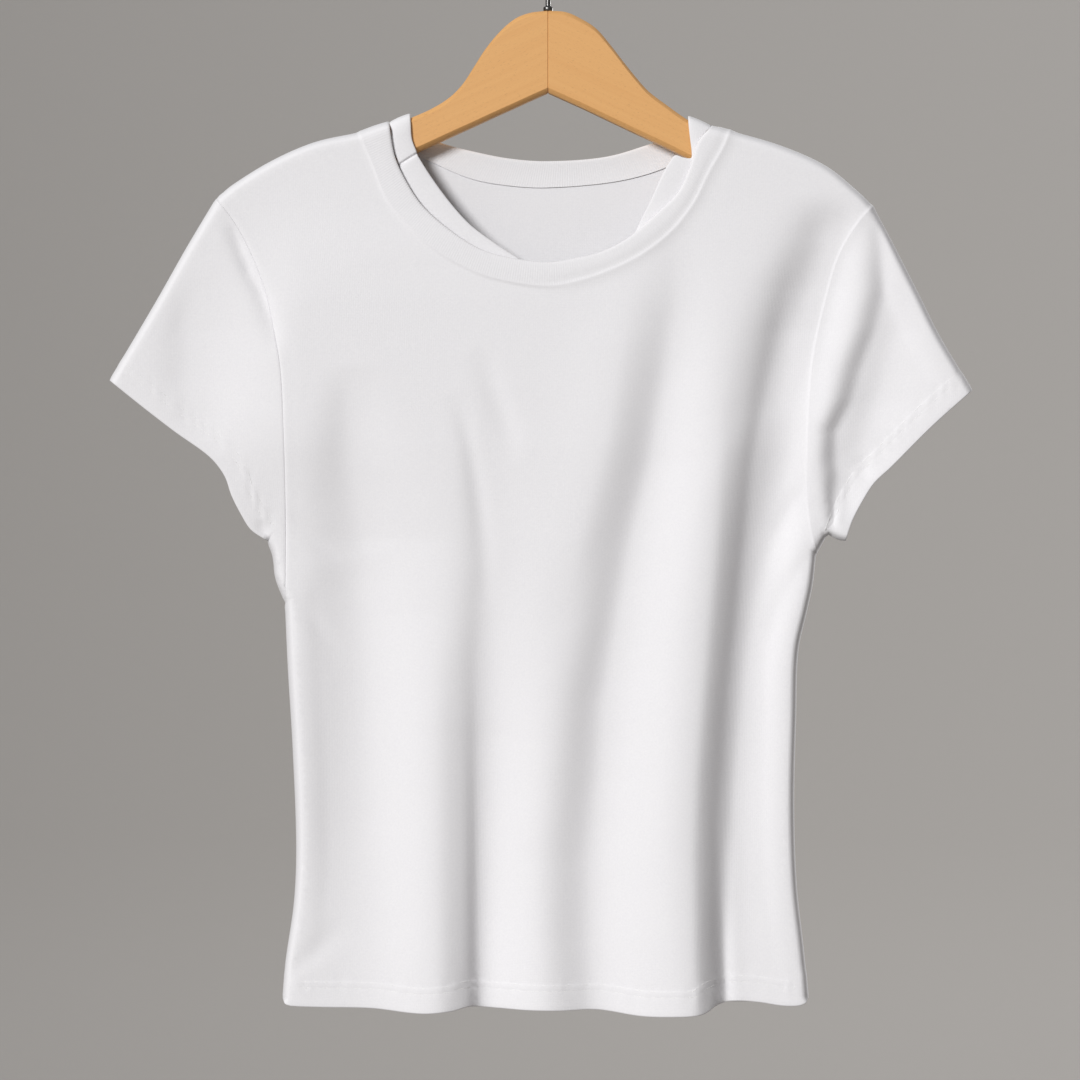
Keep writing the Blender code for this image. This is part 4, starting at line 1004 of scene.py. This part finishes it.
def rib_material(colours):
    """White cotton 1x1 rib, knitted double and folded: fine ridges across the band."""
    material, tree = new_material("cotton_rib_knitted_1x1")
    place = add_node(tree, "ShaderNodeTexCoord")
    # Real ribs are 1.2 mm apart; they are drawn 1.7 mm apart, so that they just show.
    ribs = add_node(tree, "ShaderNodeTexWave",
                    {"wave_type": "BANDS", "bands_direction": "X", "wave_profile": "SIN",
                     "Scale": bands_per_metre(1.7), "Distortion": 0.3, "Detail": 1.0},
                    {"Vector": place.outputs["UV"]})
    fuzz = add_node(tree, "ShaderNodeTexNoise", {"Scale": grains_per_metre(1.2), "Detail": 4.0},
                    {"Vector": place.outputs["Object"]})
    fibres = add_node(tree, "ShaderNodeBump", {"Strength": 0.35, "Distance": 0.12 * MM},
                      {"Height": fuzz.outputs["Fac"]})
    ridges = add_node(tree, "ShaderNodeBump", {"Strength": 0.35, "Distance": 0.2 * MM},
                      {"Height": ribs.outputs["Fac"], "Normal": fibres.outputs["Normal"]})
    tint = add_node(tree, "ShaderNodeMix",
                    {"data_type": "RGBA", 6: linear(colours.jersey_shade), 7: linear(colours.jersey)},
                    {0: fuzz.outputs["Fac"]})
    # The double layer is denser than the jersey, so it looks a little smoother and brighter.
    shader = add_node(tree, "ShaderNodeBsdfPrincipled",
                      {"Roughness": 0.84, "IOR": 1.46, "Specular IOR Level": 0.25,
                       "Sheen Weight": 0.2, "Sheen Roughness": 0.4},
                      {"Base Color": tint.outputs[2], "Normal": ridges.outputs["Normal"]})
    add_node(tree, "ShaderNodeOutputMaterial", links={"Surface": shader.outputs["BSDF"]})
    return material


def thread_material(colours):
    """White spun polyester thread, twisted: a small, slightly shiny line on the dull jersey."""
    material, tree = new_material("polyester_thread_twisted")
    place = add_node(tree, "ShaderNodeTexCoord")
    plies = add_node(tree, "ShaderNodeTexWave",
                     {"wave_type": "BANDS", "bands_direction": "DIAGONAL",
                      "Scale": bands_per_metre(0.5)}, {"Vector": place.outputs["Object"]})
    twist = add_node(tree, "ShaderNodeBump", {"Strength": 0.4, "Distance": 0.08 * MM},
                     {"Height": plies.outputs["Fac"]})
    shader = add_node(tree, "ShaderNodeBsdfPrincipled",
                      {"Base Color": linear(colours.thread), "Roughness": 0.55, "IOR": 1.54,
                       "Sheen Weight": 0.1},
                      {"Normal": twist.outputs["Normal"]})
    add_node(tree, "ShaderNodeOutputMaterial", links={"Surface": shader.outputs["BSDF"]})
    return material


def beech_material(colours, side):
    """Steamed beech, sanded and clear lacquered: warm, with soft streaks and short brown flecks."""
    material, tree = new_material("beech_lacquered_right" if side < 0 else "beech_lacquered_left")
    place = add_node(tree, "ShaderNodeTexCoord")
    # The grain runs out along each arm, about 25 degrees below level.
    slope = math.radians(-25) * side
    along = add_node(tree, "ShaderNodeMapping", {"Rotation": (0, slope, 0)},
                     {"Vector": place.outputs["Object"]})
    # Growth rings show as faint streaks about 3 mm wide that run on for 120 mm.
    streak_scale = add_node(tree, "ShaderNodeMapping",
                            {"Scale": (grains_per_metre(120), grains_per_metre(6),
                                       grains_per_metre(3))},
                            {"Vector": along.outputs["Vector"]})
    streaks = add_node(tree, "ShaderNodeTexNoise", {"Scale": 1.0, "Detail": 3.0, "Distortion": 0.3},
                       {"Vector": streak_scale.outputs["Vector"]})
    # Ray flecks are about 2.6 mm long and half a millimetre wide.
    fleck_scale = add_node(tree, "ShaderNodeMapping",
                           {"Scale": (grains_per_metre(2.6), grains_per_metre(0.6),
                                      grains_per_metre(0.5))},
                           {"Vector": along.outputs["Vector"]})
    flecks = add_node(tree, "ShaderNodeTexNoise", {"Scale": 1.0, "Detail": 1.0, "Roughness": 0.4},
                      {"Vector": fleck_scale.outputs["Vector"]})
    fleck_mask = add_node(tree, "ShaderNodeMapRange",
                          {"From Min": 0.62, "From Max": 0.74, "To Min": 0.0, "To Max": 0.5},
                          {"Value": flecks.outputs["Fac"]})
    streak_mask = add_node(tree, "ShaderNodeMapRange",
                           {"From Min": 0.36, "From Max": 0.74, "To Min": 0.0, "To Max": 0.6},
                           {"Value": streaks.outputs["Fac"]})
    wood = add_node(tree, "ShaderNodeMix",
                    {"data_type": "RGBA", 6: linear(colours.beech), 7: linear(colours.beech_dark)},
                    {0: streak_mask.outputs["Result"]})
    flecked = add_node(tree, "ShaderNodeMix", {"data_type": "RGBA", 7: linear(colours.beech_fleck)},
                       {0: fleck_mask.outputs["Result"], 6: wood.outputs[2]})
    pores = add_node(tree, "ShaderNodeBump", {"Strength": 0.15, "Distance": 0.1 * MM, "invert": True},
                     {"Height": flecks.outputs["Fac"]})
    gloss = add_node(tree, "ShaderNodeMapRange",
                     {"From Min": 0.3, "From Max": 0.7, "To Min": 0.38, "To Max": 0.5},
                     {"Value": streaks.outputs["Fac"]})
    # The thin lacquer gives a soft, broad shine over the grain.
    shader = add_node(tree, "ShaderNodeBsdfPrincipled",
                      {"IOR": 1.5, "Coat Weight": 0.12, "Coat Roughness": 0.4},
                      {"Base Color": flecked.outputs[2], "Roughness": gloss.outputs["Result"],
                       "Normal": pores.outputs["Normal"]})
    add_node(tree, "ShaderNodeOutputMaterial", links={"Surface": shader.outputs["BSDF"]})
    return material


def wire_material(colours):
    """Steel wire, drawn, bent and plated in black nickel: a dark, slightly streaky metal."""
    material, tree = new_material("steel_wire_drawn_black_nickel")
    place = add_node(tree, "ShaderNodeTexCoord")
    grit = add_node(tree, "ShaderNodeTexNoise", {"Scale": grains_per_metre(0.9), "Detail": 3.0},
                    {"Vector": place.outputs["Object"]})
    roughness = add_node(tree, "ShaderNodeMapRange",
                         {"From Min": 0.3, "From Max": 0.7, "To Min": 0.24, "To Max": 0.4},
                         {"Value": grit.outputs["Fac"]})
    drawn = add_node(tree, "ShaderNodeBump", {"Strength": 0.1, "Distance": 0.05 * MM},
                     {"Height": grit.outputs["Fac"]})
    shader = add_node(tree, "ShaderNodeBsdfPrincipled",
                      {"Base Color": linear(colours.steel), "Metallic": 1.0},
                      {"Roughness": roughness.outputs["Result"], "Normal": drawn.outputs["Normal"]})
    add_node(tree, "ShaderNodeOutputMaterial", links={"Surface": shader.outputs["BSDF"]})
    return material


def paper_material(colours):
    """Seamless studio paper, matt: an even light grey ground with a trace of tooth."""
    material, tree = new_material("studio_paper_matt")
    place = add_node(tree, "ShaderNodeTexCoord")
    tooth = add_node(tree, "ShaderNodeTexNoise", {"Scale": grains_per_metre(6), "Detail": 2.0},
                     {"Vector": place.outputs["Object"]})
    bump = add_node(tree, "ShaderNodeBump", {"Strength": 0.05, "Distance": 0.2 * MM},
                    {"Height": tooth.outputs["Fac"]})
    shader = add_node(tree, "ShaderNodeBsdfPrincipled",
                      {"Base Color": linear(colours.studio), "Roughness": 0.9, "IOR": 1.45},
                      {"Normal": bump.outputs["Normal"]})
    add_node(tree, "ShaderNodeOutputMaterial", links={"Surface": shader.outputs["BSDF"]})
    return material


def material_named(name, make, *details):
    """The material of that name, made on first use."""
    return bpy.data.materials.get(name) or make(*details)


# --- the shirt's layers -----------------------------------------------------------------
# Edges that the front and the back share: edge, its relief on the right and on the left.
BODY_EDGES = (
    (ARMHOLE_RIGHT, RIGHT_ARMHOLE_BODY, RIGHT_ARMHOLE_BODY),
    (ARMHOLE_LEFT, LEFT_ARMHOLE_BODY, LEFT_ARMHOLE_BODY),
    (SIDE_RIGHT, SEAM_GROOVE, SEAM_GROOVE),
    (SIDE_LEFT, SEAM_GROOVE, SEAM_GROOVE),
    (SHOULDER_RIGHT, SEAM_GROOVE, SEAM_GROOVE),
    (SHOULDER_LEFT, SEAM_GROOVE, SEAM_GROOVE),
)


def shirt_panels():
    """For each panel: sheet, node, cloth, edges with relief, free edge and its stitch rows."""
    front_edges = BODY_EDGES + ((seam_line(NECK_FRONT), NECK_SEAM_RIGHT, NECK_SEAM_LEFT),
                                (HEM_FRONT, HEM_RELIEF, HEM_RELIEF))
    back_edges = BODY_EDGES + ((seam_line(NECK_BACK), NECK_SEAM_BACK, NECK_SEAM_BACK),
                               (HEM_BACK, HEM_RELIEF, HEM_RELIEF))
    panels = [
        ("front_jersey", "front_panel", body_panel(NECK_FRONT, HEM_FRONT, -1, FRONT_CELL),
         front_edges, HEM_FRONT, HEM_STITCH_ROWS),
        ("back_jersey", "back_panel", body_panel(NECK_BACK, HEM_BACK, 1, BACK_CELL),
         back_edges, HEM_BACK, HEM_STITCH_ROWS),
    ]
    for node, armhole, top, cuff, seam, relief in (
            ("sleeve_right", ARMHOLE_RIGHT, SLEEVE_TOP_RIGHT, CUFF_RIGHT, SLEEVE_SEAM_RIGHT,
             RIGHT_ARMHOLE_SLEEVE),
            ("sleeve_left", ARMHOLE_LEFT, SLEEVE_TOP_LEFT, CUFF_LEFT, SLEEVE_SEAM_LEFT,
             LEFT_ARMHOLE_SLEEVE)):
        edges = ((armhole, relief, relief), (cuff, CUFF_RELIEF, CUFF_RELIEF))
        panels.append((f"{node}_jersey", node, sleeve(armhole, top, cuff, seam, relief),
                       edges, cuff, CUFF_STITCH_ROWS))
    return panels


def panel_faces(flat, edges, free_edge, stitch_rows, sizes):
    """Outer and inner face of a panel: reliefs, stitch puckers and the turned-up layer."""
    from_edge = distance_to(flat, fine_curve(free_edge))
    stitched = sum(np.exp(-((from_edge - row) / PUCKER_REACH) ** 2) for row in stitch_rows)
    wave = flat[:, 0] * MM / sizes.pucker_length * math.tau
    uneven = wave + PUCKER_WANDER * np.sin(wave / PUCKER_WANDER_RUN)
    ripple = sizes.pucker / MM * stitched * np.sin(uneven)
    turned_up = smooth_step((stitch_rows[-1] - from_edge) / ALLOWANCE_FADE + 0.5)
    outer = WALL_FACE + relief_height(flat, edges) + ripple
    inner = WALL_FACE - sizes.cloth / MM + ripple - sizes.hem_allowance / MM * turned_up
    middle, half = (outer + inner) / 2, (outer - inner) / 2 * rounded(from_edge, PANEL_ROUND)
    return middle + half, middle - half


def band_faces(band):
    """Outer and inner face of the neck band, with the relief beside its seam."""
    rows = np.repeat(BAND_ROWS, band.shape[1])
    width = np.tile(np.linalg.norm(band[-1] - band[0], axis=-1), len(BAND_ROWS))
    from_seam, from_free = rows * width, (1 - rows) * width
    in_front = smooth_step(0.5 - band[..., 1].ravel() / BAND_BLEND)
    front_relief = relief_of_sides(from_seam, band[..., 0].ravel(), BAND_SEAM_RIGHT, BAND_SEAM_LEFT)
    seam = in_front * front_relief + (1 - in_front) * relief_at(from_seam, BAND_SEAM_BACK)
    crown = BAND_CROWN * np.sin(np.pi * rows)
    half = BAND_FACE * rounded(from_free, BAND_ROUND)
    return half + crown + seam, crown - half


# --- operators: one for each group of like pieces ---------------------------------------
class TSHIRT_OT_cloth(bpy.types.Operator):
    """Front, back, sleeves and neck band of the shirt, as thin shells that share their seams"""
    bl_idname = "tshirt.cloth"
    bl_label = "Shirt"

    def execute(self, context):
        settings = context.scene.tshirt
        sizes, colours = settings.sizes, settings.colours
        jersey = material_named("cotton_single_jersey_knitted", jersey_material, colours)
        rib = material_named("cotton_rib_knitted_1x1", rib_material, colours)
        panels = shirt_panels()
        band, band_triangles, band_uvs = neck_ring()
        sheets = [cloth[:2] for _, _, cloth, _, _, _ in panels]
        normals = shared_normals(sheets + [(band.reshape(-1, 3), band_triangles)])
        for (name, node, cloth, edges, free_edge, stitch_rows), facing in zip(panels, normals):
            points, triangles, flat = cloth
            outer, inner = panel_faces(flat, edges, free_edge, stitch_rows, sizes)
            obj = shell(name, points, triangles, facing, outer, inner, jersey)
            dress(obj, "jersey", node)
            hang(node)
        outer, inner = band_faces(band)
        obj = shell("neck_band_rib", band.reshape(-1, 3), band_triangles, normals[-1],
                    outer, inner, rib, band_uvs.reshape(-1, 2))
        dress(obj, "rib", "neck_band")
        hang("neck_band")
        return {"FINISHED"}


class TSHIRT_OT_facings(bpy.types.Operator):
    """The two narrow strips inside the neck band"""
    bl_idname = "tshirt.facings"
    bl_label = "Neck facings"

    def execute(self, context):
        jersey = material_named("cotton_single_jersey_knitted", jersey_material,
                                context.scene.tshirt.colours)
        for name, node, sections, outwards in (
                ("neck_facing_right_jersey", "neck_facing_right", FACING_RIGHT, 1),
                ("neck_facing_left_jersey", "neck_facing_left", FACING_LEFT, -1)):
            table = fine_curve(sections, FACING_SPANS)[::outwards]
            outer_flat, inner_flat, depth = table[:, 0:2], table[:, 2:4], table[:, 4]
            outer, inner = in_space(outer_flat, depth), in_space(inner_flat, depth)
            grid = np.stack([outer + (inner - outer) * share for share in FACING_ROWS])
            flat = np.stack([outer_flat + (inner_flat - outer_flat) * share
                             for share in FACING_ROWS])
            rows = np.repeat(FACING_ROWS, grid.shape[1])
            width = np.tile(np.linalg.norm(inner - outer, axis=-1), len(FACING_ROWS))
            points, triangles = grid.reshape(-1, 3), grid_triangles(*grid.shape[:2], False)
            facing = shared_normals([(points, triangles)])[0]
            from_crease = distance_to(flat.reshape(-1, 2), np.array(FACING_CREASE))
            crown = (FACING_CROWN * np.sin(np.pi * rows)
                     - FACING_CREASE_DEPTH * np.exp(-(from_crease / FACING_CREASE_WIDTH) ** 2))
            half = FACING_FACE * rounded(np.minimum(rows, 1 - rows) * width, FACING_ROUND)
            obj = shell(name, points, triangles, facing, half + crown, crown - half, jersey)
            dress(obj, "jersey", node)
            hang(node)
        return {"FINISHED"}


class TSHIRT_OT_stitching(bpy.types.Operator):
    """Twin-needle stitches along the hem and both cuffs"""
    bl_idname = "tshirt.stitching"
    bl_label = "Hem stitches"

    def execute(self, context):
        settings = context.scene.tshirt
        thread = material_named("polyester_thread_twisted", thread_material, settings.colours)
        length, radius = settings.sizes.stitch / MM, settings.sizes.thread / MM / 2
        for name, line, rows, sides in (
                ("hem_stitches_front", HEM_FRONT, HEM_STITCH_ROWS, (-1,)),
                ("hem_stitches_back", HEM_BACK, HEM_STITCH_ROWS, (1,)),
                ("cuff_stitches_right", CUFF_RIGHT, CUFF_STITCH_ROWS, (-1, 1)),
                ("cuff_stitches_left", CUFF_LEFT, CUFF_STITCH_ROWS, (-1, 1))):
            runs = [self.run(line, row, side, length, radius) for row in rows for side in sides]
            stitches = np.concatenate(runs)
            size = STITCH_RINGS * STITCH_SIDES
            faces = [face for number in range(len(stitches)) for face in stitch_faces(number * size)]
            dress(add_object(name, stitches.reshape(-1, 3) * MM, faces, thread), "jersey")
        return {"FINISHED"}

    @staticmethod
    def run(line, row, side, length, radius):
        """The points of one row of stitches: stitch, ring, corner, place."""
        curve = fine_curve(line)
        normals = unit(np.gradient(curve, axis=0)[:, ::-1] * (1, -1))
        middle = len(curve) // 2
        if normals[middle] @ (VIEW_AXIS - curve[middle]) < 0:
            normals = -normals
        offset = curve + normals * row
        stops = np.arange(length, lengths_along(offset)[-1] - length, length * STITCH_PITCH)
        centres = at_lengths(offset, stops)[:, None]
        ahead = unit(at_lengths(offset, stops + STITCH_AHEAD)
                     - at_lengths(offset, stops - STITCH_AHEAD))[:, None]
        aside = ahead[..., ::-1] * (-1, 1)
        along, sizes = np.array(STITCH_PROFILE).T
        flat = centres + ahead * (length * along)[None, :, None]
        spine = lay(flat, side)
        tangent = unit(spine[:, -1] - spine[:, 0])[:, None]
        sideways = unit(lay(centres + aside * STITCH_ASIDE, side) - lay(centres, side))
        up = unit(np.cross(tangent, sideways))
        up = up * np.sign(up[..., 1:2] * side)
        sideways = np.cross(up, tangent)
        lifted = (spine + up * STITCH_LIFT)[:, :, None]
        angle = np.arange(STITCH_SIDES) * math.tau / STITCH_SIDES
        round_side = (sideways[:, :, None] * np.cos(angle)[:, None]
                      + up[:, :, None] * np.sin(angle)[:, None])
        return lifted + radius * sizes[None, :, None, None] * round_side


def stitch_faces(start):
    """Faces of one capped stitch."""
    last = start + STITCH_SIDES * (STITCH_RINGS - 1)
    faces = [tuple(range(start, start + STITCH_SIDES))[::-1], tuple(range(last, last + STITCH_SIDES))]
    for ring in range(start, last, STITCH_SIDES):
        for corner in range(STITCH_SIDES):
            a, b = ring + corner, ring + (corner + 1) % STITCH_SIDES
            faces.append((a, b, b + STITCH_SIDES, a + STITCH_SIDES))
    return faces


class TSHIRT_OT_hanger(bpy.types.Operator):
    """The two wooden arms of the hanger"""
    bl_idname = "tshirt.hanger"
    bl_label = "Hanger arms"

    def execute(self, context):
        colours = context.scene.tshirt.colours
        table = np.array(ARM_SECTIONS, float)
        line = fine_curve(table, ARM_SPANS)
        tip, end = table[-3, 0], table[-1, 0]
        distances = np.unique(np.concatenate([[0, JOINT_CHAMFER], np.arange(ARM_STEP, tip, ARM_STEP),
                                              np.linspace(tip, end, ARM_TIP_SECTIONS)]))
        fine = np.stack([np.interp(distances, line[:, 0], column) for column in line.T], axis=1)
        for name, node, direction in (("hanger_right_beech", "hanger_right", -1),
                                      ("hanger_left_beech", "hanger_left", 1)):
            rings = []
            for distance, top_right, bottom_right, top_left, bottom_left in fine:
                top, bottom = (top_right, bottom_right) if direction < 0 else (top_left, bottom_left)
                shift = JOINT_X * (1 - smooth_step((distance - JOINT_REACH) / JOINT_BLEND + 0.5))
                inset = max(JOINT_CHAMFER - distance, 0)
                rings.append(self.ring(direction * max(distance, JOINT_GAP / 2) + shift,
                                       top + inset, bottom - inset, inset))
            side = "right" if direction < 0 else "left"
            beech = material_named(f"beech_lacquered_{side}", beech_material, colours, direction)
            dress(loft(name, rings[::direction], beech, WOOD_SHARP_ANGLE), "wood", node)
        return {"FINISHED"}

    @staticmethod
    def ring(x, top, bottom, inset):
        """A bevelled rectangle across an arm, from its front's place in the front view."""
        (x, _, high), (_, _, low) = in_space(np.array([(x, top), (x, bottom)]), np.full(2, -WOOD_HALF))
        middle, half_height = (high + low) / 2, (high - low) / 2
        bevel = min(WOOD_BEVEL, half_height * BEVEL_LIMIT)
        ring = []
        for corner, (side, rise) in enumerate(((1, 1), (-1, 1), (-1, -1), (1, -1))):
            for step in range(BEVEL_STEPS + 1):
                angle = math.radians(90 * (corner + step / BEVEL_STEPS))
                c, s = math.cos(angle), math.sin(angle)
                reach = (abs(c) ** BEVEL_POWER + abs(s) ** BEVEL_POWER) ** (-1 / BEVEL_POWER)
                y = side * (WOOD_HALF - inset - bevel) + bevel * reach * c
                z = middle + rise * (half_height - bevel) + bevel * reach * s
                ring.append((x * MM, y * MM, z * MM))
        return ring


class TSHIRT_OT_hook(bpy.types.Operator):
    """The wire hook with its collar"""
    bl_idname = "tshirt.hook"
    bl_label = "Hook"

    def execute(self, context):
        settings = context.scene.tshirt
        wire, collar = settings.sizes.wire / MM, settings.sizes.collar / MM
        radius = HOOK_CROWN + wire
        wood_top = in_space(np.array((JOINT_X, ARM_SECTIONS[0][1])), np.array(-WOOD_HALF))[2]
        base = wood_top + JOINT_GAP
        reach = radius + HOOK_FILLET
        fillet_x = JOINT_X + HOOK_FILLET
        fillet_z = -HOOK_CROWN - math.sqrt(reach**2 - fillet_x**2)
        meet = math.atan2(fillet_z + HOOK_CROWN, fillet_x)
        # x, z and radius of each section
        route = [(JOINT_X, base + height, share * collar) for height, share in COLLAR_PROFILE]
        route += [(JOINT_X, base + height, share * wire) for height, share in COLLAR_TOP]
        foot = len(route)
        for step in range(FILLET_STEPS + 1):
            angle = math.pi + meet * step / FILLET_STEPS
            route.append((fillet_x + HOOK_FILLET * math.cos(angle),
                          fillet_z + HOOK_FILLET * math.sin(angle), wire))
        for step in range(1, CROOK_STEPS + 1):
            angle = meet + (math.radians(HOOK_TIP_ANGLE) - meet) * step / CROOK_STEPS
            route.append((radius * math.cos(angle), -HOOK_CROWN + radius * math.sin(angle), wire))
        centres = np.array([(x, z) for x, z, _ in route])
        ahead = unit(np.gradient(centres, axis=0))
        ahead[:foot] = (0, 1)
        stations = [(centre, forward, row[2]) for centre, forward, row in zip(centres, ahead, route)]
        tip, forward, _ = stations[-1]
        for share in HOOK_TIP_SHARES:
            stations.append((tip + forward * wire * share, forward, wire * math.sqrt(1 - share**2)))
        rings = []
        for centre, forward, size in stations:
            ring = []
            for side in range(WIRE_SIDES):
                angle = math.tau * (side + 0.5) / WIRE_SIDES
                out = size * math.cos(angle)
                ring.append(((centre[0] + forward[1] * out) * MM, size * math.sin(angle) * MM,
                             (centre[1] - forward[0] * out) * MM))
            rings.append(ring)
        steel = material_named("steel_wire_drawn_black_nickel", wire_material, settings.colours)
        dress(loft("hook_wire", rings, steel, WIRE_SHARP_ANGLE), "wire", "hook")
        return {"FINISHED"}


class TSHIRT_OT_stage(bpy.types.Operator):
    """Paper cove, soft lights and the camera"""
    bl_idname = "tshirt.stage"
    bl_label = "Studio"

    def execute(self, context):
        scene, settings = context.scene, context.scene.tshirt
        paper = material_named("studio_paper_matt", paper_material, settings.colours)
        cove = add_object("studio_cove", *self.cove_mesh(), paper)
        cove.visible_shadow = False

        lighting = settings.lighting
        for name, spot, power in (("key_light", KEY_SPOT, lighting.key),
                                  ("back_light", BACK_SPOT, lighting.back)):
            light = bpy.data.lights.new(name, "SUN")
            light.angle, light.energy = math.radians(lighting.softness), power
            lamp = bpy.data.objects.new(name, light)
            lamp.location = SHIRT_CENTRE + Vector(spot)
            lamp.rotation_euler = (-Vector(spot)).to_track_quat("-Z", "Y").to_euler()
            scene.collection.objects.link(lamp)
        world = bpy.data.worlds.new("studio_room_light")
        world.use_nodes = True
        background = world.node_tree.nodes["Background"]
        background.inputs["Color"].default_value = linear(settings.colours.room)
        background.inputs["Strength"].default_value = lighting.room
        scene.world = world
        scene.view_settings.view_transform = "Standard"

        camera = bpy.data.cameras.new("camera")
        camera.lens = LENS
        camera.clip_start, camera.clip_end = CLIP
        viewer = bpy.data.objects.new("camera", camera)
        eye = Vector((VIEW_AXIS[0], -VIEW_DISTANCE, NECK_POINT_Z - VIEW_AXIS[1]))
        viewer.location = eye * MM
        viewer.rotation_euler = (math.radians(90), 0, 0)
        scene.collection.objects.link(viewer)
        scene.camera = viewer
        return {"FINISHED"}

    @staticmethod
    def cove_mesh():
        """Points and faces of the round cove: floor, bend and wall."""
        profile = [(COVE_INNER, COVE_FLOOR), (COVE_FLAT, COVE_FLOOR)]
        for angle in np.radians(np.arange(COVE_BEND_STEP, 91, COVE_BEND_STEP)):
            profile.append((COVE_FLAT + COVE_BEND * math.sin(angle),
                            COVE_FLOOR + COVE_BEND - COVE_BEND * math.cos(angle)))
        profile += [(COVE_FLAT + COVE_BEND, height) for height in COVE_WALL]
        verts = [(0, 0, COVE_FLOOR)]
        for radius, height in profile:
            verts += [(radius * math.cos(a), radius * math.sin(a), height)
                      for a in np.linspace(0, math.tau, COVE_SIDES, endpoint=False)]
        faces = [(0, 1 + i, 1 + (i + 1) % COVE_SIDES) for i in range(COVE_SIDES)]
        for start in range(1, len(verts) - COVE_SIDES, COVE_SIDES):
            for i in range(COVE_SIDES):
                a, b = start + i, start + (i + 1) % COVE_SIDES
                faces.append((a, a + COVE_SIDES, b + COVE_SIDES, b))
        return verts, faces


class TSHIRT_PT_builder(bpy.types.Panel):
    """Lists the pieces of the T-shirt in the 3D view's sidebar"""
    bl_idname = "TSHIRT_PT_builder"
    bl_label = "T-shirt"
    bl_space_type = "VIEW_3D"
    bl_region_type = "UI"
    bl_category = "T-shirt"

    def draw(self, context):
        for operator in OPERATORS:
            self.layout.operator(operator.bl_idname)
        settings = context.scene.tshirt
        for group in (settings.sizes, settings.colours, settings.lighting):
            box = self.layout.box()
            for name in group.__annotations__:
                box.prop(group, name)


OPERATORS = (TSHIRT_OT_cloth, TSHIRT_OT_facings, TSHIRT_OT_stitching, TSHIRT_OT_hanger,
             TSHIRT_OT_hook, TSHIRT_OT_stage)
CLASSES = (TshirtSizes, TshirtColours, TshirtLighting, TshirtSettings) + OPERATORS + (TSHIRT_PT_builder,)


def register():
    for each in CLASSES:
        bpy.utils.register_class(each)
    bpy.types.Scene.tshirt = bpy.props.PointerProperty(type=TshirtSettings)


def unregister():
    del bpy.types.Scene.tshirt
    for each in reversed(CLASSES):
        bpy.utils.unregister_class(each)


def main():
    register()
    bpy.ops.tshirt.cloth()
    bpy.ops.tshirt.facings()
    bpy.ops.tshirt.stitching()
    bpy.ops.tshirt.hanger()
    bpy.ops.tshirt.hook()
    bpy.ops.tshirt.stage()


if __name__ == "__main__":
    main()
